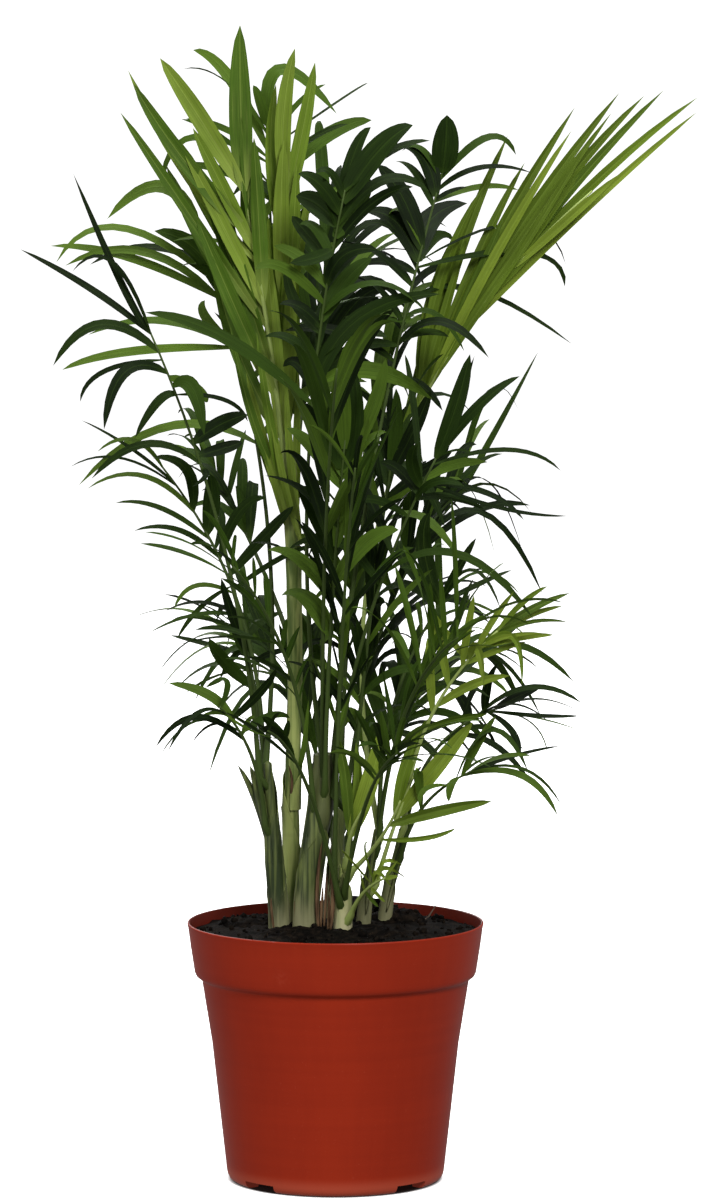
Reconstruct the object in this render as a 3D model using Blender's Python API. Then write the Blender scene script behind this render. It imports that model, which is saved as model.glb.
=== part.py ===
"""Parlour palm in its nursery pot: pot, soil, sheathed stems and one thin blade for each frond.
Metres, +Z up, the front is -Y. The origin is under the middle of the whole plant, on the floor."""

import math

import bmesh
import bpy
from mathutils import Matrix, Vector

# Driving dimensions
GAP = 0.0003                 # between two pieces that touch
POT_AXIS_X = -0.0100         # the pot stands this far left of the plant's middle
POT_HEIGHT = 0.1050
RIM_RADIUS = 0.0600
BAND_HEIGHT = 0.0204
BAND_FOOT_RADIUS = 0.0570
STEP_HEIGHT = 0.0029         # chamfer under the band
BODY_TOP_RADIUS = 0.0541
BODY_FOOT_RADIUS = 0.0432
CORNER = 0.0045              # height of the round corner at the foot
CORNER_REACH = 0.0036        # how far that corner draws in
CORNER_STEPS = 3
WALL = 0.0010
LIP_EDGE = 0.0003            # bevel of the lip
FOOT_RING_WIDTH = 0.0030
FLOOR_LIFT = 0.0035
NOTCH_WIDTH = 0.0160
NOTCH_HEIGHT = 0.0030
NOTCH_DEPTH = 0.0260         # of the cutting block, far more than the foot ring
POT_SIDES = 48
SOIL_CROWN = 0.1035          # height of the level soil that the stems stand in
SOIL_EDGE = 0.0970
SOIL_MOUND = 0.0060          # how much higher the soil lies at the back rim
SOIL_MOUND_TURN = math.radians(70)
SOIL_RIPPLE = 0.0006
SOIL_CROWN_RADIUS = 0.0310
SOIL_SHOULDER = 0.6          # share of the rise that is done half way in from the wall
SOIL_SIDES = 32
STEM_SIDES = 12
PETIOLE = 0.0009             # half the thickness of a leaf stalk
BLADE = 0.0007               # half the thickness of a frond's blade along its rib
PETIOLE_STEPS = 4
PARTING = 0.25               # share of a leaflet's length where it parts from the next one
BLADE_START = 0.03           # share of the rib over which a stalk widens into its blade
LONGEST_AT = 0.3             # share of a blade where its leaflets are longest
TANGENT = 0.001              # share of the rib on each side that gives its direction

UP = Vector((0, 0, 1))


def clear_scene():
    for item in list(bpy.data.objects):
        bpy.data.objects.remove(item, do_unlink=True)


def material(name, colour, roughness):
    made = bpy.data.materials.new(name)
    made.use_nodes = True
    shader = made.node_tree.nodes["Principled BSDF"]
    shader.inputs["Base Color"].default_value = (*colour, 1)
    shader.inputs["Roughness"].default_value = roughness
    shader.inputs["Metallic"].default_value = 0
    return made


def add_object(name, mesh, skin, parent):
    made = bpy.data.objects.new(name, mesh)
    mesh.materials.append(skin)
    made.parent = parent
    bpy.context.scene.collection.objects.link(made)
    return made


def quads(low, high):
    """The band of faces between two rings."""
    for i in range(len(low)):
        j = (i + 1) % len(low)
        yield low[i], low[j], high[j], high[i]


def loft(name, rings, band=quads):
    """A closed mesh through rings that all have the same number of points."""
    work = bmesh.new()
    rows = [[work.verts.new(point) for point in ring] for ring in rings]
    for low, high in zip(rows, rows[1:]):
        for face in band(low, high):
            work.faces.new(face)
    work.faces.new(reversed(rows[0]))
    work.faces.new(rows[-1])
    if work.calc_volume(signed=True) < 0:
        bmesh.ops.reverse_faces(work, faces=work.faces)
    mesh = bpy.data.meshes.new(name)
    work.to_mesh(mesh)
    work.free()
    return mesh


# Pot


def band_radius(z):
    """Outer radius of the band under the lip."""
    share = (z - (POT_HEIGHT - BAND_HEIGHT)) / BAND_HEIGHT
    return BAND_FOOT_RADIUS + (RIM_RADIUS - BAND_FOOT_RADIUS) * share


def body_radius(z):
    """Outer radius of the straight wall between the foot and the band."""
    top = POT_HEIGHT - BAND_HEIGHT - STEP_HEIGHT
    return BODY_FOOT_RADIUS + (BODY_TOP_RADIUS - BODY_FOOT_RADIUS) * (z - CORNER) / (top - CORNER)


def pot_profile():
    """Radius and height round the pot's section, from the middle of its underside to the middle
    of its floor."""
    band_foot = POT_HEIGHT - BAND_HEIGHT
    step_foot = band_foot - STEP_HEIGHT
    ring_outer = BODY_FOOT_RADIUS - CORNER_REACH
    ring_inner = ring_outer - FOOT_RING_WIDTH
    corner = []
    for i in range(1, CORNER_STEPS + 1):
        angle = math.tau / 4 * i / CORNER_STEPS
        rise = CORNER * (1 - math.cos(angle))
        corner.append((ring_outer + CORNER_REACH * math.sin(angle), rise))
    floor_top = FLOOR_LIFT + WALL
    return [
        (0, FLOOR_LIFT),
        (ring_inner, FLOOR_LIFT),
        (ring_inner, 0),
        (ring_outer, 0),
        *corner,
        (BODY_TOP_RADIUS, step_foot),
        (BAND_FOOT_RADIUS, band_foot),
        (RIM_RADIUS, POT_HEIGHT - WALL),
        (RIM_RADIUS - LIP_EDGE, POT_HEIGHT),
        (RIM_RADIUS - WALL, POT_HEIGHT),
        (BAND_FOOT_RADIUS - WALL, band_foot),
        (BODY_TOP_RADIUS - WALL, step_foot),
        (body_radius(floor_top) - WALL, floor_top),
        (0, floor_top),
    ]


def notch_cutter(parent):
    """Four blocks, each on a diagonal, that open the foot ring for water."""
    work = bmesh.new()
    for quarter in range(4):
        turn = Matrix.Rotation(math.radians(45 + 90 * quarter), 4, "Z")
        place = Matrix.Translation((BODY_FOOT_RADIUS, 0, 0))
        size = Matrix.Diagonal((NOTCH_DEPTH, NOTCH_WIDTH, 2 * NOTCH_HEIGHT, 1))
        bmesh.ops.create_cube(work, size=1, matrix=turn @ place @ size)
    mesh = bpy.data.meshes.new("notch_cutter")
    work.to_mesh(mesh)
    work.free()
    made = bpy.data.objects.new("notch_cutter", mesh)
    made.parent = parent
    made.hide_render = True
    made.display_type = "WIRE"
    bpy.context.scene.collection.objects.link(made)
    return made


def add_pot(parent):
    work = bmesh.new()
    points = [work.verts.new((radius, 0, z)) for radius, z in pot_profile()]
    edges = [work.edges.new(pair) for pair in zip(points, points[1:])]
    bmesh.ops.spin(
        work, geom=points + edges, axis=UP, cent=(0, 0, 0),
        angle=math.tau, steps=POT_SIDES, use_merge=True,
    )
    bmesh.ops.remove_doubles(work, verts=work.verts, dist=1e-6)
    bmesh.ops.recalc_face_normals(work, faces=work.faces)
    mesh = bpy.data.meshes.new("pot")
    work.to_mesh(mesh)
    work.free()
    plastic = material("pot_plastic", (0.30, 0.028, 0.013), 0.38)
    pot = add_object("pot", mesh, plastic, parent)
    cut = pot.modifiers.new("notches", "BOOLEAN")
    cut.operation = "DIFFERENCE"
    cut.object = notch_cutter(parent)
    mesh.shade_smooth()
    mesh.set_sharp_from_angle(angle=math.radians(30))


# Soil


def soil_height(angle):
    """Height of the soil where it meets the wall, with a mound at the back right."""
    towards_back = max(0.0, math.cos(angle - SOIL_MOUND_TURN))
    ripple = SOIL_RIPPLE * (math.sin(5 * angle) + 0.7 * math.sin(9 * angle + 1))
    return SOIL_EDGE + SOIL_MOUND * towards_back ** 4 + ripple


def add_soil(parent):
    """The root ball's visible shape: it fills the pot and has a level crown."""
    band_foot = POT_HEIGHT - BAND_HEIGHT
    step_foot = band_foot - STEP_HEIGHT
    bottom = FLOOR_LIFT + WALL + GAP
    inset = WALL + GAP * 2

    def ring(radius, height):
        made = []
        for i in range(SOIL_SIDES):
            angle = math.tau * i / SOIL_SIDES
            z = height(angle)
            made.append((radius(z) * math.cos(angle), radius(z) * math.sin(angle), z))
        return made

    rings = [
        ring(lambda z: body_radius(z) - inset, lambda a: bottom),
        ring(lambda z: BODY_TOP_RADIUS - inset, lambda a: step_foot - GAP),
        ring(lambda z: BAND_FOOT_RADIUS - inset, lambda a: band_foot),
        ring(lambda z: band_radius(z) - inset, soil_height),
        ring(lambda z: (RIM_RADIUS + SOIL_CROWN_RADIUS) / 2,
             lambda a: soil_height(a) * (1 - SOIL_SHOULDER) + SOIL_CROWN * SOIL_SHOULDER),
        ring(lambda z: SOIL_CROWN_RADIUS, lambda a: SOIL_CROWN),
    ]
    add_object("soil", loft("soil", rings), material("soil", (0.012, 0.009, 0.007), 0.95), parent)


# Stems: each is a line of (x, y, z, radius) from the soil up to where its leaf stalks part.
# They spread at the foot, lean a little and taper.

SHEATH_OLIVE = (0.13, 0.17, 0.05)
SHEATH_PALE = (0.36, 0.45, 0.15)
FOOT = SOIL_CROWN + GAP

STEMS = {
    "left": (SHEATH_OLIVE, [
        (-0.0218, -0.004, FOOT, 0.0056), (-0.0225, -0.004, 0.112, 0.0048),
        (-0.0248, -0.005, 0.135, 0.0040), (-0.0276, -0.005, 0.170, 0.0028)]),
    "pale": (SHEATH_PALE, [
        (-0.0150, 0.008, FOOT, 0.0046), (-0.0158, 0.008, 0.115, 0.0042),
        (-0.0172, 0.006, 0.150, 0.0040), (-0.0168, 0.004, 0.203, 0.0034),
        (-0.0165, 0.002, 0.250, 0.0029), (-0.0186, 0.001, 0.286, 0.0026)]),
    "sheathed": (SHEATH_OLIVE, [
        (-0.0110, -0.008, FOOT, 0.0048), (-0.0105, -0.008, 0.116, 0.0050),
        (-0.0088, -0.008, 0.134, 0.0046), (-0.0050, -0.007, 0.162, 0.0040)]),
    "centre": (SHEATH_PALE, [
        (0.0039, -0.010, FOOT, 0.0044), (0.0039, -0.010, 0.113, 0.0040),
        (0.0040, -0.010, 0.132, 0.0028)]),
    "slim": (SHEATH_OLIVE, [
        (0.0116, 0.002, FOOT, 0.0026), (0.0132, 0.002, 0.120, 0.0023),
        (0.0170, 0.003, 0.142, 0.0019)]),
    "right": (SHEATH_OLIVE, [
        (0.0185, 0.010, FOOT, 0.0025), (0.0215, 0.009, 0.120, 0.0021),
        (0.0270, 0.006, 0.142, 0.0018)]),
    "back": (SHEATH_OLIVE, [
        (-0.0010, 0.018, FOOT, 0.0040), (0.0000, 0.020, 0.122, 0.0034),
        (0.0018, 0.022, 0.148, 0.0028)]),
}


def stem_at(stem, z):
    """Centre and radius of a stem at a height, or at its top if that is lower."""
    line = STEMS[stem][1]
    for low, high in zip(line, line[1:]):
        if z <= high[2]:
            share = max(0.0, (z - low[2]) / (high[2] - low[2]))
            x, y, height, radius = (a + (b - a) * share for a, b in zip(low, high))
            return Vector((x, y, height)), radius
    x, y, height, radius = line[-1]
    return Vector((x, y, height)), radius


def add_stem(name, parent):
    colour, line = STEMS[name]
    rings = []
    for x, y, z, radius in line:
        ring = []
        for i in range(STEM_SIDES):
            angle = math.tau * i / STEM_SIDES
            ring.append((x + radius * math.cos(angle), y + radius * math.sin(angle), z))
        rings.append(ring)
    skin = material("stem_" + name, colour, 0.5)
    made = add_object("stem_" + name, loft("stem_" + name, rings), skin, parent)
    made.data.shade_smooth()
    made.data.set_sharp_from_angle(angle=math.radians(40))


# Fronds: a stalk and a thin blade, whose two edges run out to each leaflet's tip and back in
# between the leaflets


class Frond:
    """foot, bend and tip are on the rib; the pairs of leaflets start at the share bare of its length.
    leaf is the longest leaflet, first and last are shares of it, spread is a leaflet's angle to the
    rib in degrees at the blade's foot and at its tip, and face is where its upper side looks."""

    def __init__(self, stem, height, bend, tip, bare, pairs, leaf, first, last, spread, face,
                 right=None, droop=0.28, shares=(1, 1), colour="dark", around=None):
        self.stem = stem
        self.height = height
        self.bend = Vector(bend)
        self.tip = Vector(tip)
        self.bare = bare
        self.pairs = pairs
        self.leaf = leaf
        self.first = first
        self.last = last
        self.spread = spread
        self.right = right or spread
        self.face = Vector(face)
        self.droop = droop
        self.shares = shares
        self.colour = colour
        self.around = around
        self.seat()

    def seat(self):
        """Puts the foot of the stalk on its stem: at the stem's top, or on its side."""
        middle, radius = stem_at(self.stem, self.height)
        heading = self.bend - middle if self.around is None else Vector(self.around)
        heading.z = 0
        heading.normalize()
        if self.height > STEMS[self.stem][1][-1][2]:
            self.foot = middle + heading * max(0.0, radius - PETIOLE) + UP * (GAP * 2)
        else:
            self.foot = middle + heading * (radius + PETIOLE + GAP)

    def rib(self, t):
        """A point on the rib: the curve through foot, bend and tip."""
        low = (self.bend - self.foot).length
        m = low / (low + (self.tip - self.bend).length)
        return (self.foot * ((t - m) * (t - 1) / m)
                + self.bend * (t * (t - 1) / (m * (m - 1)))
                + self.tip * (t * (t - m) / (1 - m)))

    def axes(self, t):
        """Directions at a point on the rib: along it, out of the blade's upper side, and sideways."""
        along = self.rib(t + TANGENT) - self.rib(t - TANGENT)
        along.normalize()
        over = (self.face - along * self.face.dot(along)).normalized()
        return along, over, along.cross(over)

    def leaf_length(self, u):
        """Length of a leaflet at the share u of the blade."""
        if u < LONGEST_AT:
            return self.leaf * (self.first + (1 - self.first) * u / LONGEST_AT)
        return self.leaf * (1 + (self.last - 1) * (u - LONGEST_AT) / (1 - LONGEST_AT))

    def leaflet_point(self, u, right, out):
        """The point at the share out of the leaflet on one side, at the share u of the blade."""
        t = self.bare + (1 - self.bare) * u
        along, over, side = self.axes(t)
        spread = self.right if right else self.spread
        angle = math.radians(spread[0] + (spread[1] - spread[0]) * u)
        if not right:
            side = -side
        way = along * math.cos(angle) + side * math.sin(angle) - UP * self.droop
        return self.rib(t) + way * (self.leaf_length(u) * self.shares[right] * out)

    def sections(self):
        """Four points across the frond at each place along it: left edge, top, right edge, underside."""
        rows = []
        for i in range(PETIOLE_STEPS):
            t = (self.bare - BLADE_START) * i / (PETIOLE_STEPS - 1)
            along, over, side = self.axes(t)
            ways = (-side, over, side, -over)
            rows.append([self.rib(t) + way * PETIOLE for way in ways])
        last = 2 * (self.pairs - 1)
        for i in range(last + 1):
            u = i / last
            out = PARTING if i % 2 else 1
            t = self.bare + (1 - self.bare) * u
            along, over, side = self.axes(t)
            left = self.leaflet_point(u, False, out)
            right = self.leaflet_point(u, True, out)
            rows.append([left, self.rib(t) + over * BLADE, right, self.rib(t) - over * BLADE])
        return rows


def leaflet_band(low, high):
    """Triangles between two sections, each cut from the edge that reaches further out."""
    for i in range(4):
        j = (i + 1) % 4
        edge = i if i % 2 == 0 else j
        rib = j if i % 2 == 0 else i
        reach_low = (low[edge].co - low[rib].co).length
        reach_high = (high[edge].co - high[rib].co).length
        outer = edge if reach_low > reach_high else rib
        if outer == i:
            yield low[i], low[j], high[j]
            yield low[i], high[j], high[i]
        else:
            yield low[i], low[j], high[i]
            yield low[j], high[j], high[i]


LEAF_YOUNG = (0.26, 0.42, 0.07)
LEAF_MATURE = (0.06, 0.15, 0.02)
LEAF_DARK = (0.02, 0.06, 0.012)
LEAF_COLOURS = {"young": LEAF_YOUNG, "mature": LEAF_MATURE, "dark": LEAF_DARK}

FRONT = (0, -1, 0)
FRONT_UP = (0, -1, 0.4)
LEFT_UP = (-0.3, -1, 0.6)
RIGHT_UP = (0.2, -1, 0.6)
BACK_UP = (0, 1, 0.4)

FRONDS = {
    "spear_tall": Frond("pale", 0.29, (-0.029, -0.004, 0.357), (-0.040, -0.008, 0.417), 0.12, 8,
                        0.078, 0.95, 0.64, (26, 16), FRONT, right=(6, 14), droop=0.0,
                        colour="young", around=(-1, -0.6, 0)),
    "spear_closed": Frond("pale", 0.29, (-0.021, 0.007, 0.356), (-0.019, 0.006, 0.416), 0.15, 6,
                          0.060, 1.00, 0.65, (5, 3), FRONT, right=(10, 8), droop=0.0,
                          colour="young", around=(1, 0.6, 0)),
    "fan_right": Frond("slim", 0.138, (0.028, 0.018, 0.299), (0.103, 0.004, 0.400), 0.52, 10,
                       0.078, 1.10, 0.65, (16, 9), FRONT_UP, right=(7, 8), droop=0.0,
                       colour="young"),
    "behind_spears": Frond("pale", 0.262, (-0.024, 0.024, 0.343), (-0.028, 0.030, 0.426), 0.55, 6,
                           0.050, 0.90, 0.80, (60, 38), FRONT, droop=0.15, colour="mature"),
    "crown_centre": Frond("sheathed", 0.17, (-0.010, -0.018, 0.305), (0.004, -0.028, 0.401), 0.66, 7,
                          0.062, 0.80, 0.85, (65, 40), FRONT_UP, around=(0.3, 1, 0)),
    "crown_right": Frond("sheathed", 0.165, (0.022, -0.010, 0.325), (0.043, 0.010, 0.407), 0.64, 7,
                         0.070, 1.00, 0.50, (70, 38), FRONT_UP, shares=(0.5, 0.6)),
    "left_high": Frond("left", 0.18, (-0.032, 0.010, 0.300), (-0.056, 0.022, 0.387), 0.58, 6,
                       0.074, 0.90, 0.75, (66, 50), LEFT_UP, colour="mature"),
    "left_arch": Frond("left", 0.165, (-0.045, -0.018, 0.261), (-0.073, -0.026, 0.344), 0.70, 5,
                       0.058, 0.75, 1.15, (85, 25), LEFT_UP),
    "left_low_arch": Frond("left", 0.16, (-0.040, 0.010, 0.235), (-0.071, 0.020, 0.289), 0.46, 6,
                           0.054, 0.80, 0.95, (70, 22), LEFT_UP, shares=(1, 0.5)),
    "left_small": Frond("left", 0.150, (-0.033, 0.012, 0.199), (-0.043, 0.022, 0.241), 0.50, 5,
                        0.032, 0.90, 0.90, (80, 50), LEFT_UP, shares=(1, 0.4)),
    "left_foot": Frond("left", 0.145, (-0.035, -0.018, 0.178), (-0.046, -0.032, 0.196), 0.40, 5,
                       0.036, 0.90, 0.90, (70, 30), LEFT_UP, shares=(1, 0.3)),
    "right_middle": Frond("sheathed", 0.158, (0.017, -0.022, 0.241), (0.040, -0.032, 0.295), 0.55, 7,
                          0.054, 0.70, 0.85, (75, 20), RIGHT_UP),
    "right_upright": Frond("slim", 0.150, (0.027, 0.006, 0.203), (0.042, 0.010, 0.233), 0.40, 6,
                           0.036, 0.90, 0.95, (75, 20), FRONT_UP, shares=(0.5, 1),
                           colour="mature"),
    "right_fan": Frond("right", 0.150, (0.042, -0.008, 0.196), (0.065, -0.018, 0.225), 0.45, 6,
                       0.034, 0.90, 0.90, (50, 15), RIGHT_UP, droop=0.1, colour="young"),
    "right_low": Frond("right", 0.138, (0.046, 0.014, 0.179), (0.065, 0.022, 0.189), 0.40, 6,
                       0.035, 0.90, 1.00, (70, 10), RIGHT_UP, around=(1, 1, 0)),
    "right_foot": Frond("right", 0.130, (0.040, -0.010, 0.158), (0.054, -0.018, 0.168), 0.45, 5,
                        0.038, 0.80, 1.00, (45, 12), RIGHT_UP, around=(1, -1, 0)),
    "low_bright": Frond("centre", 0.128, (0.020, -0.024, 0.145), (0.026, -0.030, 0.158), 0.60, 3,
                        0.036, 0.70, 1.00, (30, 6), FRONT_UP, droop=0.0, colour="young"),
    "low_leaf": Frond("slim", 0.120, (0.0228, -0.0020, 0.142), (0.0330, -0.0030, 0.168), 0.45, 3,
                      0.014, 0.80, 0.90, (20, 10), FRONT_UP, droop=0.0, colour="young"),
    "low_spray": Frond("centre", 0.110, (0.012, -0.026, 0.121), (0.020, -0.038, 0.128), 0.50, 4,
                       0.012, 0.90, 0.90, (60, 20), FRONT_UP, droop=0.0, colour="young"),
    "centre_young": Frond("centre", 0.14, (0.007, -0.0170, 0.145), (0.011, -0.020, 0.153), 0.40, 3,
                          0.028, 0.70, 0.90, (20, 12), FRONT_UP, droop=0.0, colour="young"),
    "front_left": Frond("sheathed", 0.153, (-0.022, -0.036, 0.222), (-0.040, -0.066, 0.255), 0.40, 7,
                        0.042, 0.80, 0.90, (50, 25), BACK_UP, colour="mature"),
    "front_middle": Frond("centre", 0.124, (0.004, -0.046, 0.245), (0.008, -0.088, 0.295), 0.55, 7,
                          0.040, 0.80, 0.90, (45, 25), BACK_UP, colour="mature",
                          around=(-1, -0.3, 0)),
    "front_right": Frond("slim", 0.135, (0.032, -0.038, 0.204), (0.048, -0.077, 0.228), 0.40, 7,
                         0.040, 0.80, 0.90, (50, 25), BACK_UP, colour="mature"),
    "front_low": Frond("centre", 0.116, (-0.014, -0.042, 0.172), (-0.026, -0.082, 0.192), 0.35, 6,
                       0.036, 0.80, 0.90, (45, 20), BACK_UP),
    "front_low_right": Frond("centre", 0.120, (0.014, -0.048, 0.164), (0.024, -0.090, 0.184), 0.50, 6,
                             0.034, 0.80, 0.90, (45, 20), BACK_UP, colour="mature",
                             around=(0, -1, 0)),
    "front_high": Frond("sheathed", 0.17, (-0.003, -0.056, 0.280), (0.001, -0.103, 0.334), 0.55, 7,
                        0.052, 0.80, 0.90, (60, 25), BACK_UP, around=(0, -1, 0)),
    "back_left": Frond("pale", 0.218, (-0.035, 0.047, 0.255), (-0.054, 0.089, 0.284), 0.40, 7,
                       0.046, 0.80, 0.90, (50, 22), FRONT_UP, colour="mature"),
    "back_middle": Frond("back", 0.150, (0.010, 0.058, 0.268), (0.020, 0.102, 0.320), 0.45, 7,
                         0.046, 0.80, 0.90, (50, 22), FRONT_UP, shares=(0.6, 1)),
    "back_right": Frond("back", 0.142, (0.026, 0.058, 0.236), (0.050, 0.100, 0.268), 0.45, 7,
                        0.046, 0.80, 0.90, (50, 22), FRONT_UP),
    "back_low_left": Frond("back", 0.136, (-0.018, 0.060, 0.190), (-0.040, 0.100, 0.208), 0.45, 6,
                           0.040, 0.80, 0.90, (50, 22), FRONT_UP, colour="mature"),
    "back_low_right": Frond("back", 0.130, (0.026, 0.060, 0.180), (0.048, 0.102, 0.198), 0.45, 6,
                            0.040, 0.80, 0.90, (50, 22), FRONT_UP),
    "back_high": Frond("pale", 0.259, (-0.012, 0.056, 0.325), (-0.004, 0.098, 0.365), 0.40, 7,
                       0.056, 0.80, 0.90, (60, 25), FRONT_UP),
    "heart_broad": Frond("sheathed", 0.160, (0.000, -0.034, 0.255), (0.004, -0.044, 0.303), 0.66, 4,
                         0.036, 0.80, 0.90, (45, 10), FRONT_UP),
    "heart_upright": Frond("centre", 0.14, (0.017, -0.008, 0.253), (0.024, -0.008, 0.301), 0.50, 6,
                           0.040, 0.80, 0.90, (50, 15), FRONT_UP, around=(1, 1, 0)),
}


def add_frond(name, parent):
    frond = FRONDS[name]
    mesh = loft("frond_" + name, frond.sections(), leaflet_band)
    skin = material("frond_" + name, LEAF_COLOURS[frond.colour], 0.45)
    add_object("frond_" + name, mesh, skin, parent)


def build():
    clear_scene()
    plant = bpy.data.objects.new("plant", None)
    plant.location = (POT_AXIS_X, 0, 0)
    bpy.context.scene.collection.objects.link(plant)
    add_pot(plant)
    add_soil(plant)
    for name in STEMS:
        add_stem(name, plant)
    for name in FRONDS:
        add_frond(name, plant)


build()
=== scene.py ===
"""Parlour palm in a 12 cm nursery pot: the pot, its soil, seven sheathed stems and the fronds they carry.
Metres, +Z up, the front is -Y. The pot's axis stands a little left of the middle of the whole plant."""

import math

import bpy
import numpy as np
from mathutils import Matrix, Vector


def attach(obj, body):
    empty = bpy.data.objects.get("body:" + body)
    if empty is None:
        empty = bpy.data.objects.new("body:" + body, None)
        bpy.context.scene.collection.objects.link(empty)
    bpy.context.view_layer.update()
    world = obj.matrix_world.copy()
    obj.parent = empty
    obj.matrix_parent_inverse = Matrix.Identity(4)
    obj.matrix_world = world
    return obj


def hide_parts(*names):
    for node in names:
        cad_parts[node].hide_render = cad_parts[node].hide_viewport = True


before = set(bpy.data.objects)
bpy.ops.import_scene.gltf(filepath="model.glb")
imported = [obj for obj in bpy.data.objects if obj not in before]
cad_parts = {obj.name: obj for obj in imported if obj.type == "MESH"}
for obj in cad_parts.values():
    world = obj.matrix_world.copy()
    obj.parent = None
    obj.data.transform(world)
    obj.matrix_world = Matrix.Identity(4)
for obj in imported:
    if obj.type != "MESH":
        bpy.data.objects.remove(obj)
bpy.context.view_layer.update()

# The pot is a thin injection-moulded nursery pot in brick red plastic, with a plain band under the lip. Its
# wall is one skin that runs up outside, over the rounded lip and down inside, and four notches are cut from
# its foot ring.
POT_X = -0.0100
POT_SIDES = 128
FOOT_RING = 0.0366
FOOT_PLATE = 0.0035
POT_WALL = [
    (0.0366, 0.0006), (0.0371, 0.0000), (0.0402, 0.0000), (0.0420, 0.0003), (0.0432, 0.0011),
    (0.0438, 0.0023), (0.0441, 0.0036), (0.0443, 0.0052), (0.0471, 0.0300), (0.0500, 0.0560),
    (0.0540, 0.0810), (0.0541, 0.0818), (0.0545, 0.0824), (0.0556, 0.0830), (0.0565, 0.0837),
    (0.0570, 0.0848), (0.0572, 0.0860), (0.0586, 0.0950), (0.0597, 0.1032), (0.0599, 0.1040),
    (0.0600, 0.1045), (0.0598, 0.1049), (0.0594, 0.1050), (0.0590, 0.1048), (0.0588, 0.1040),
    (0.0572, 0.0930), (0.0560, 0.0848), (0.0546, 0.0832), (0.0531, 0.0815), (0.0490, 0.0560),
    (0.0461, 0.0300), (0.0433, 0.0060), (0.0430, 0.0048),
]
NOTCH = (0.0260, 0.0160, 0.0066)
NOTCH_REACH = 0.0432
NOTCH_TURNS = (45, 135, 225, 315)
INNER_FOOT, INNER_LEAN = 0.0439, 0.155
POT_RED = (0.262, 0.0200, 0.0060)
POT_DEEP_RED = (0.230, 0.0170, 0.0055)
POT_SHADE = (0.060, 0.0090, 0.0050)
POT_SCUFF_AND_FOOT_HIGHLIGHT = (0.40, 0.075, 0.040)
SCUFF = (-0.0298, -0.0500, 0.0905)


def stand_alone(piece):
    """Makes a new piece the only selected one, with its place held in its mesh."""
    bpy.ops.object.select_all(action="DESELECT")
    piece.select_set(True)
    bpy.context.view_layer.objects.active = piece
    bpy.ops.object.transform_apply(location=True, rotation=True, scale=True)


def raise_rings(name, sides, rings, centres=None):
    """A skin drawn up from a circle: each ring is extruded from the last, and both open ends are filled."""
    centres = centres or [(POT_X, 0.0)] * len(rings)
    bpy.ops.object.select_all(action="DESELECT")
    (x, y), (radius, height) = centres[0], rings[0]
    bpy.ops.mesh.primitive_circle_add(vertices=sides, radius=radius, location=(x, y, height))
    piece = bpy.context.object
    piece.name = piece.data.name = name
    bpy.ops.object.mode_set(mode="EDIT")
    for (new_x, new_y), (new_radius, new_height) in zip(centres[1:], rings[1:]):
        step = (new_x - x, new_y - y, new_height - height)
        share = new_radius / radius
        bpy.ops.mesh.extrude_edges_move(TRANSFORM_OT_translate={"value": step})
        bpy.ops.transform.resize(value=(share, share, 1), center_override=(new_x, new_y, new_height))
        x, y, radius, height = new_x, new_y, new_radius, new_height
    bpy.ops.mesh.select_all(action="SELECT")
    bpy.ops.mesh.fill_holes(sides=0)
    bpy.ops.mesh.select_all(action="SELECT")
    bpy.ops.mesh.normals_make_consistent(inside=False)
    bpy.ops.object.mode_set(mode="OBJECT")
    stand_alone(piece)
    return piece


class Tone:
    """A number or colour that varies over a surface. Sums and products of tones add the nodes for them."""

    def __init__(self, finish, socket):
        self.finish = finish
        self.socket = socket

    def worked(self, operation, *values):
        return self.finish.node("ShaderNodeMath", {"operation": operation}, dict(enumerate(values)))

    def __add__(self, other):
        return self.worked("ADD", self, other)

    def __radd__(self, other):
        return self.worked("ADD", other, self)

    def __sub__(self, other):
        return self.worked("SUBTRACT", self, other)

    def __rsub__(self, other):
        return self.worked("SUBTRACT", other, self)

    def __mul__(self, other):
        return self.worked("MULTIPLY", self, other)

    def __rmul__(self, other):
        return self.worked("MULTIPLY", other, self)

    def __abs__(self):
        return self.worked("ABSOLUTE", self)

    def within(self, low, high, start=0.0, end=1.0):
        """start where this tone is at low, end where it is at high, and smooth between."""
        values = {"Value": self, "From Min": low, "From Max": high, "To Min": start, "To Max": end}
        return self.finish.node("ShaderNodeMapRange", {"interpolation_type": "SMOOTHSTEP"}, values, "Result")


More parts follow.
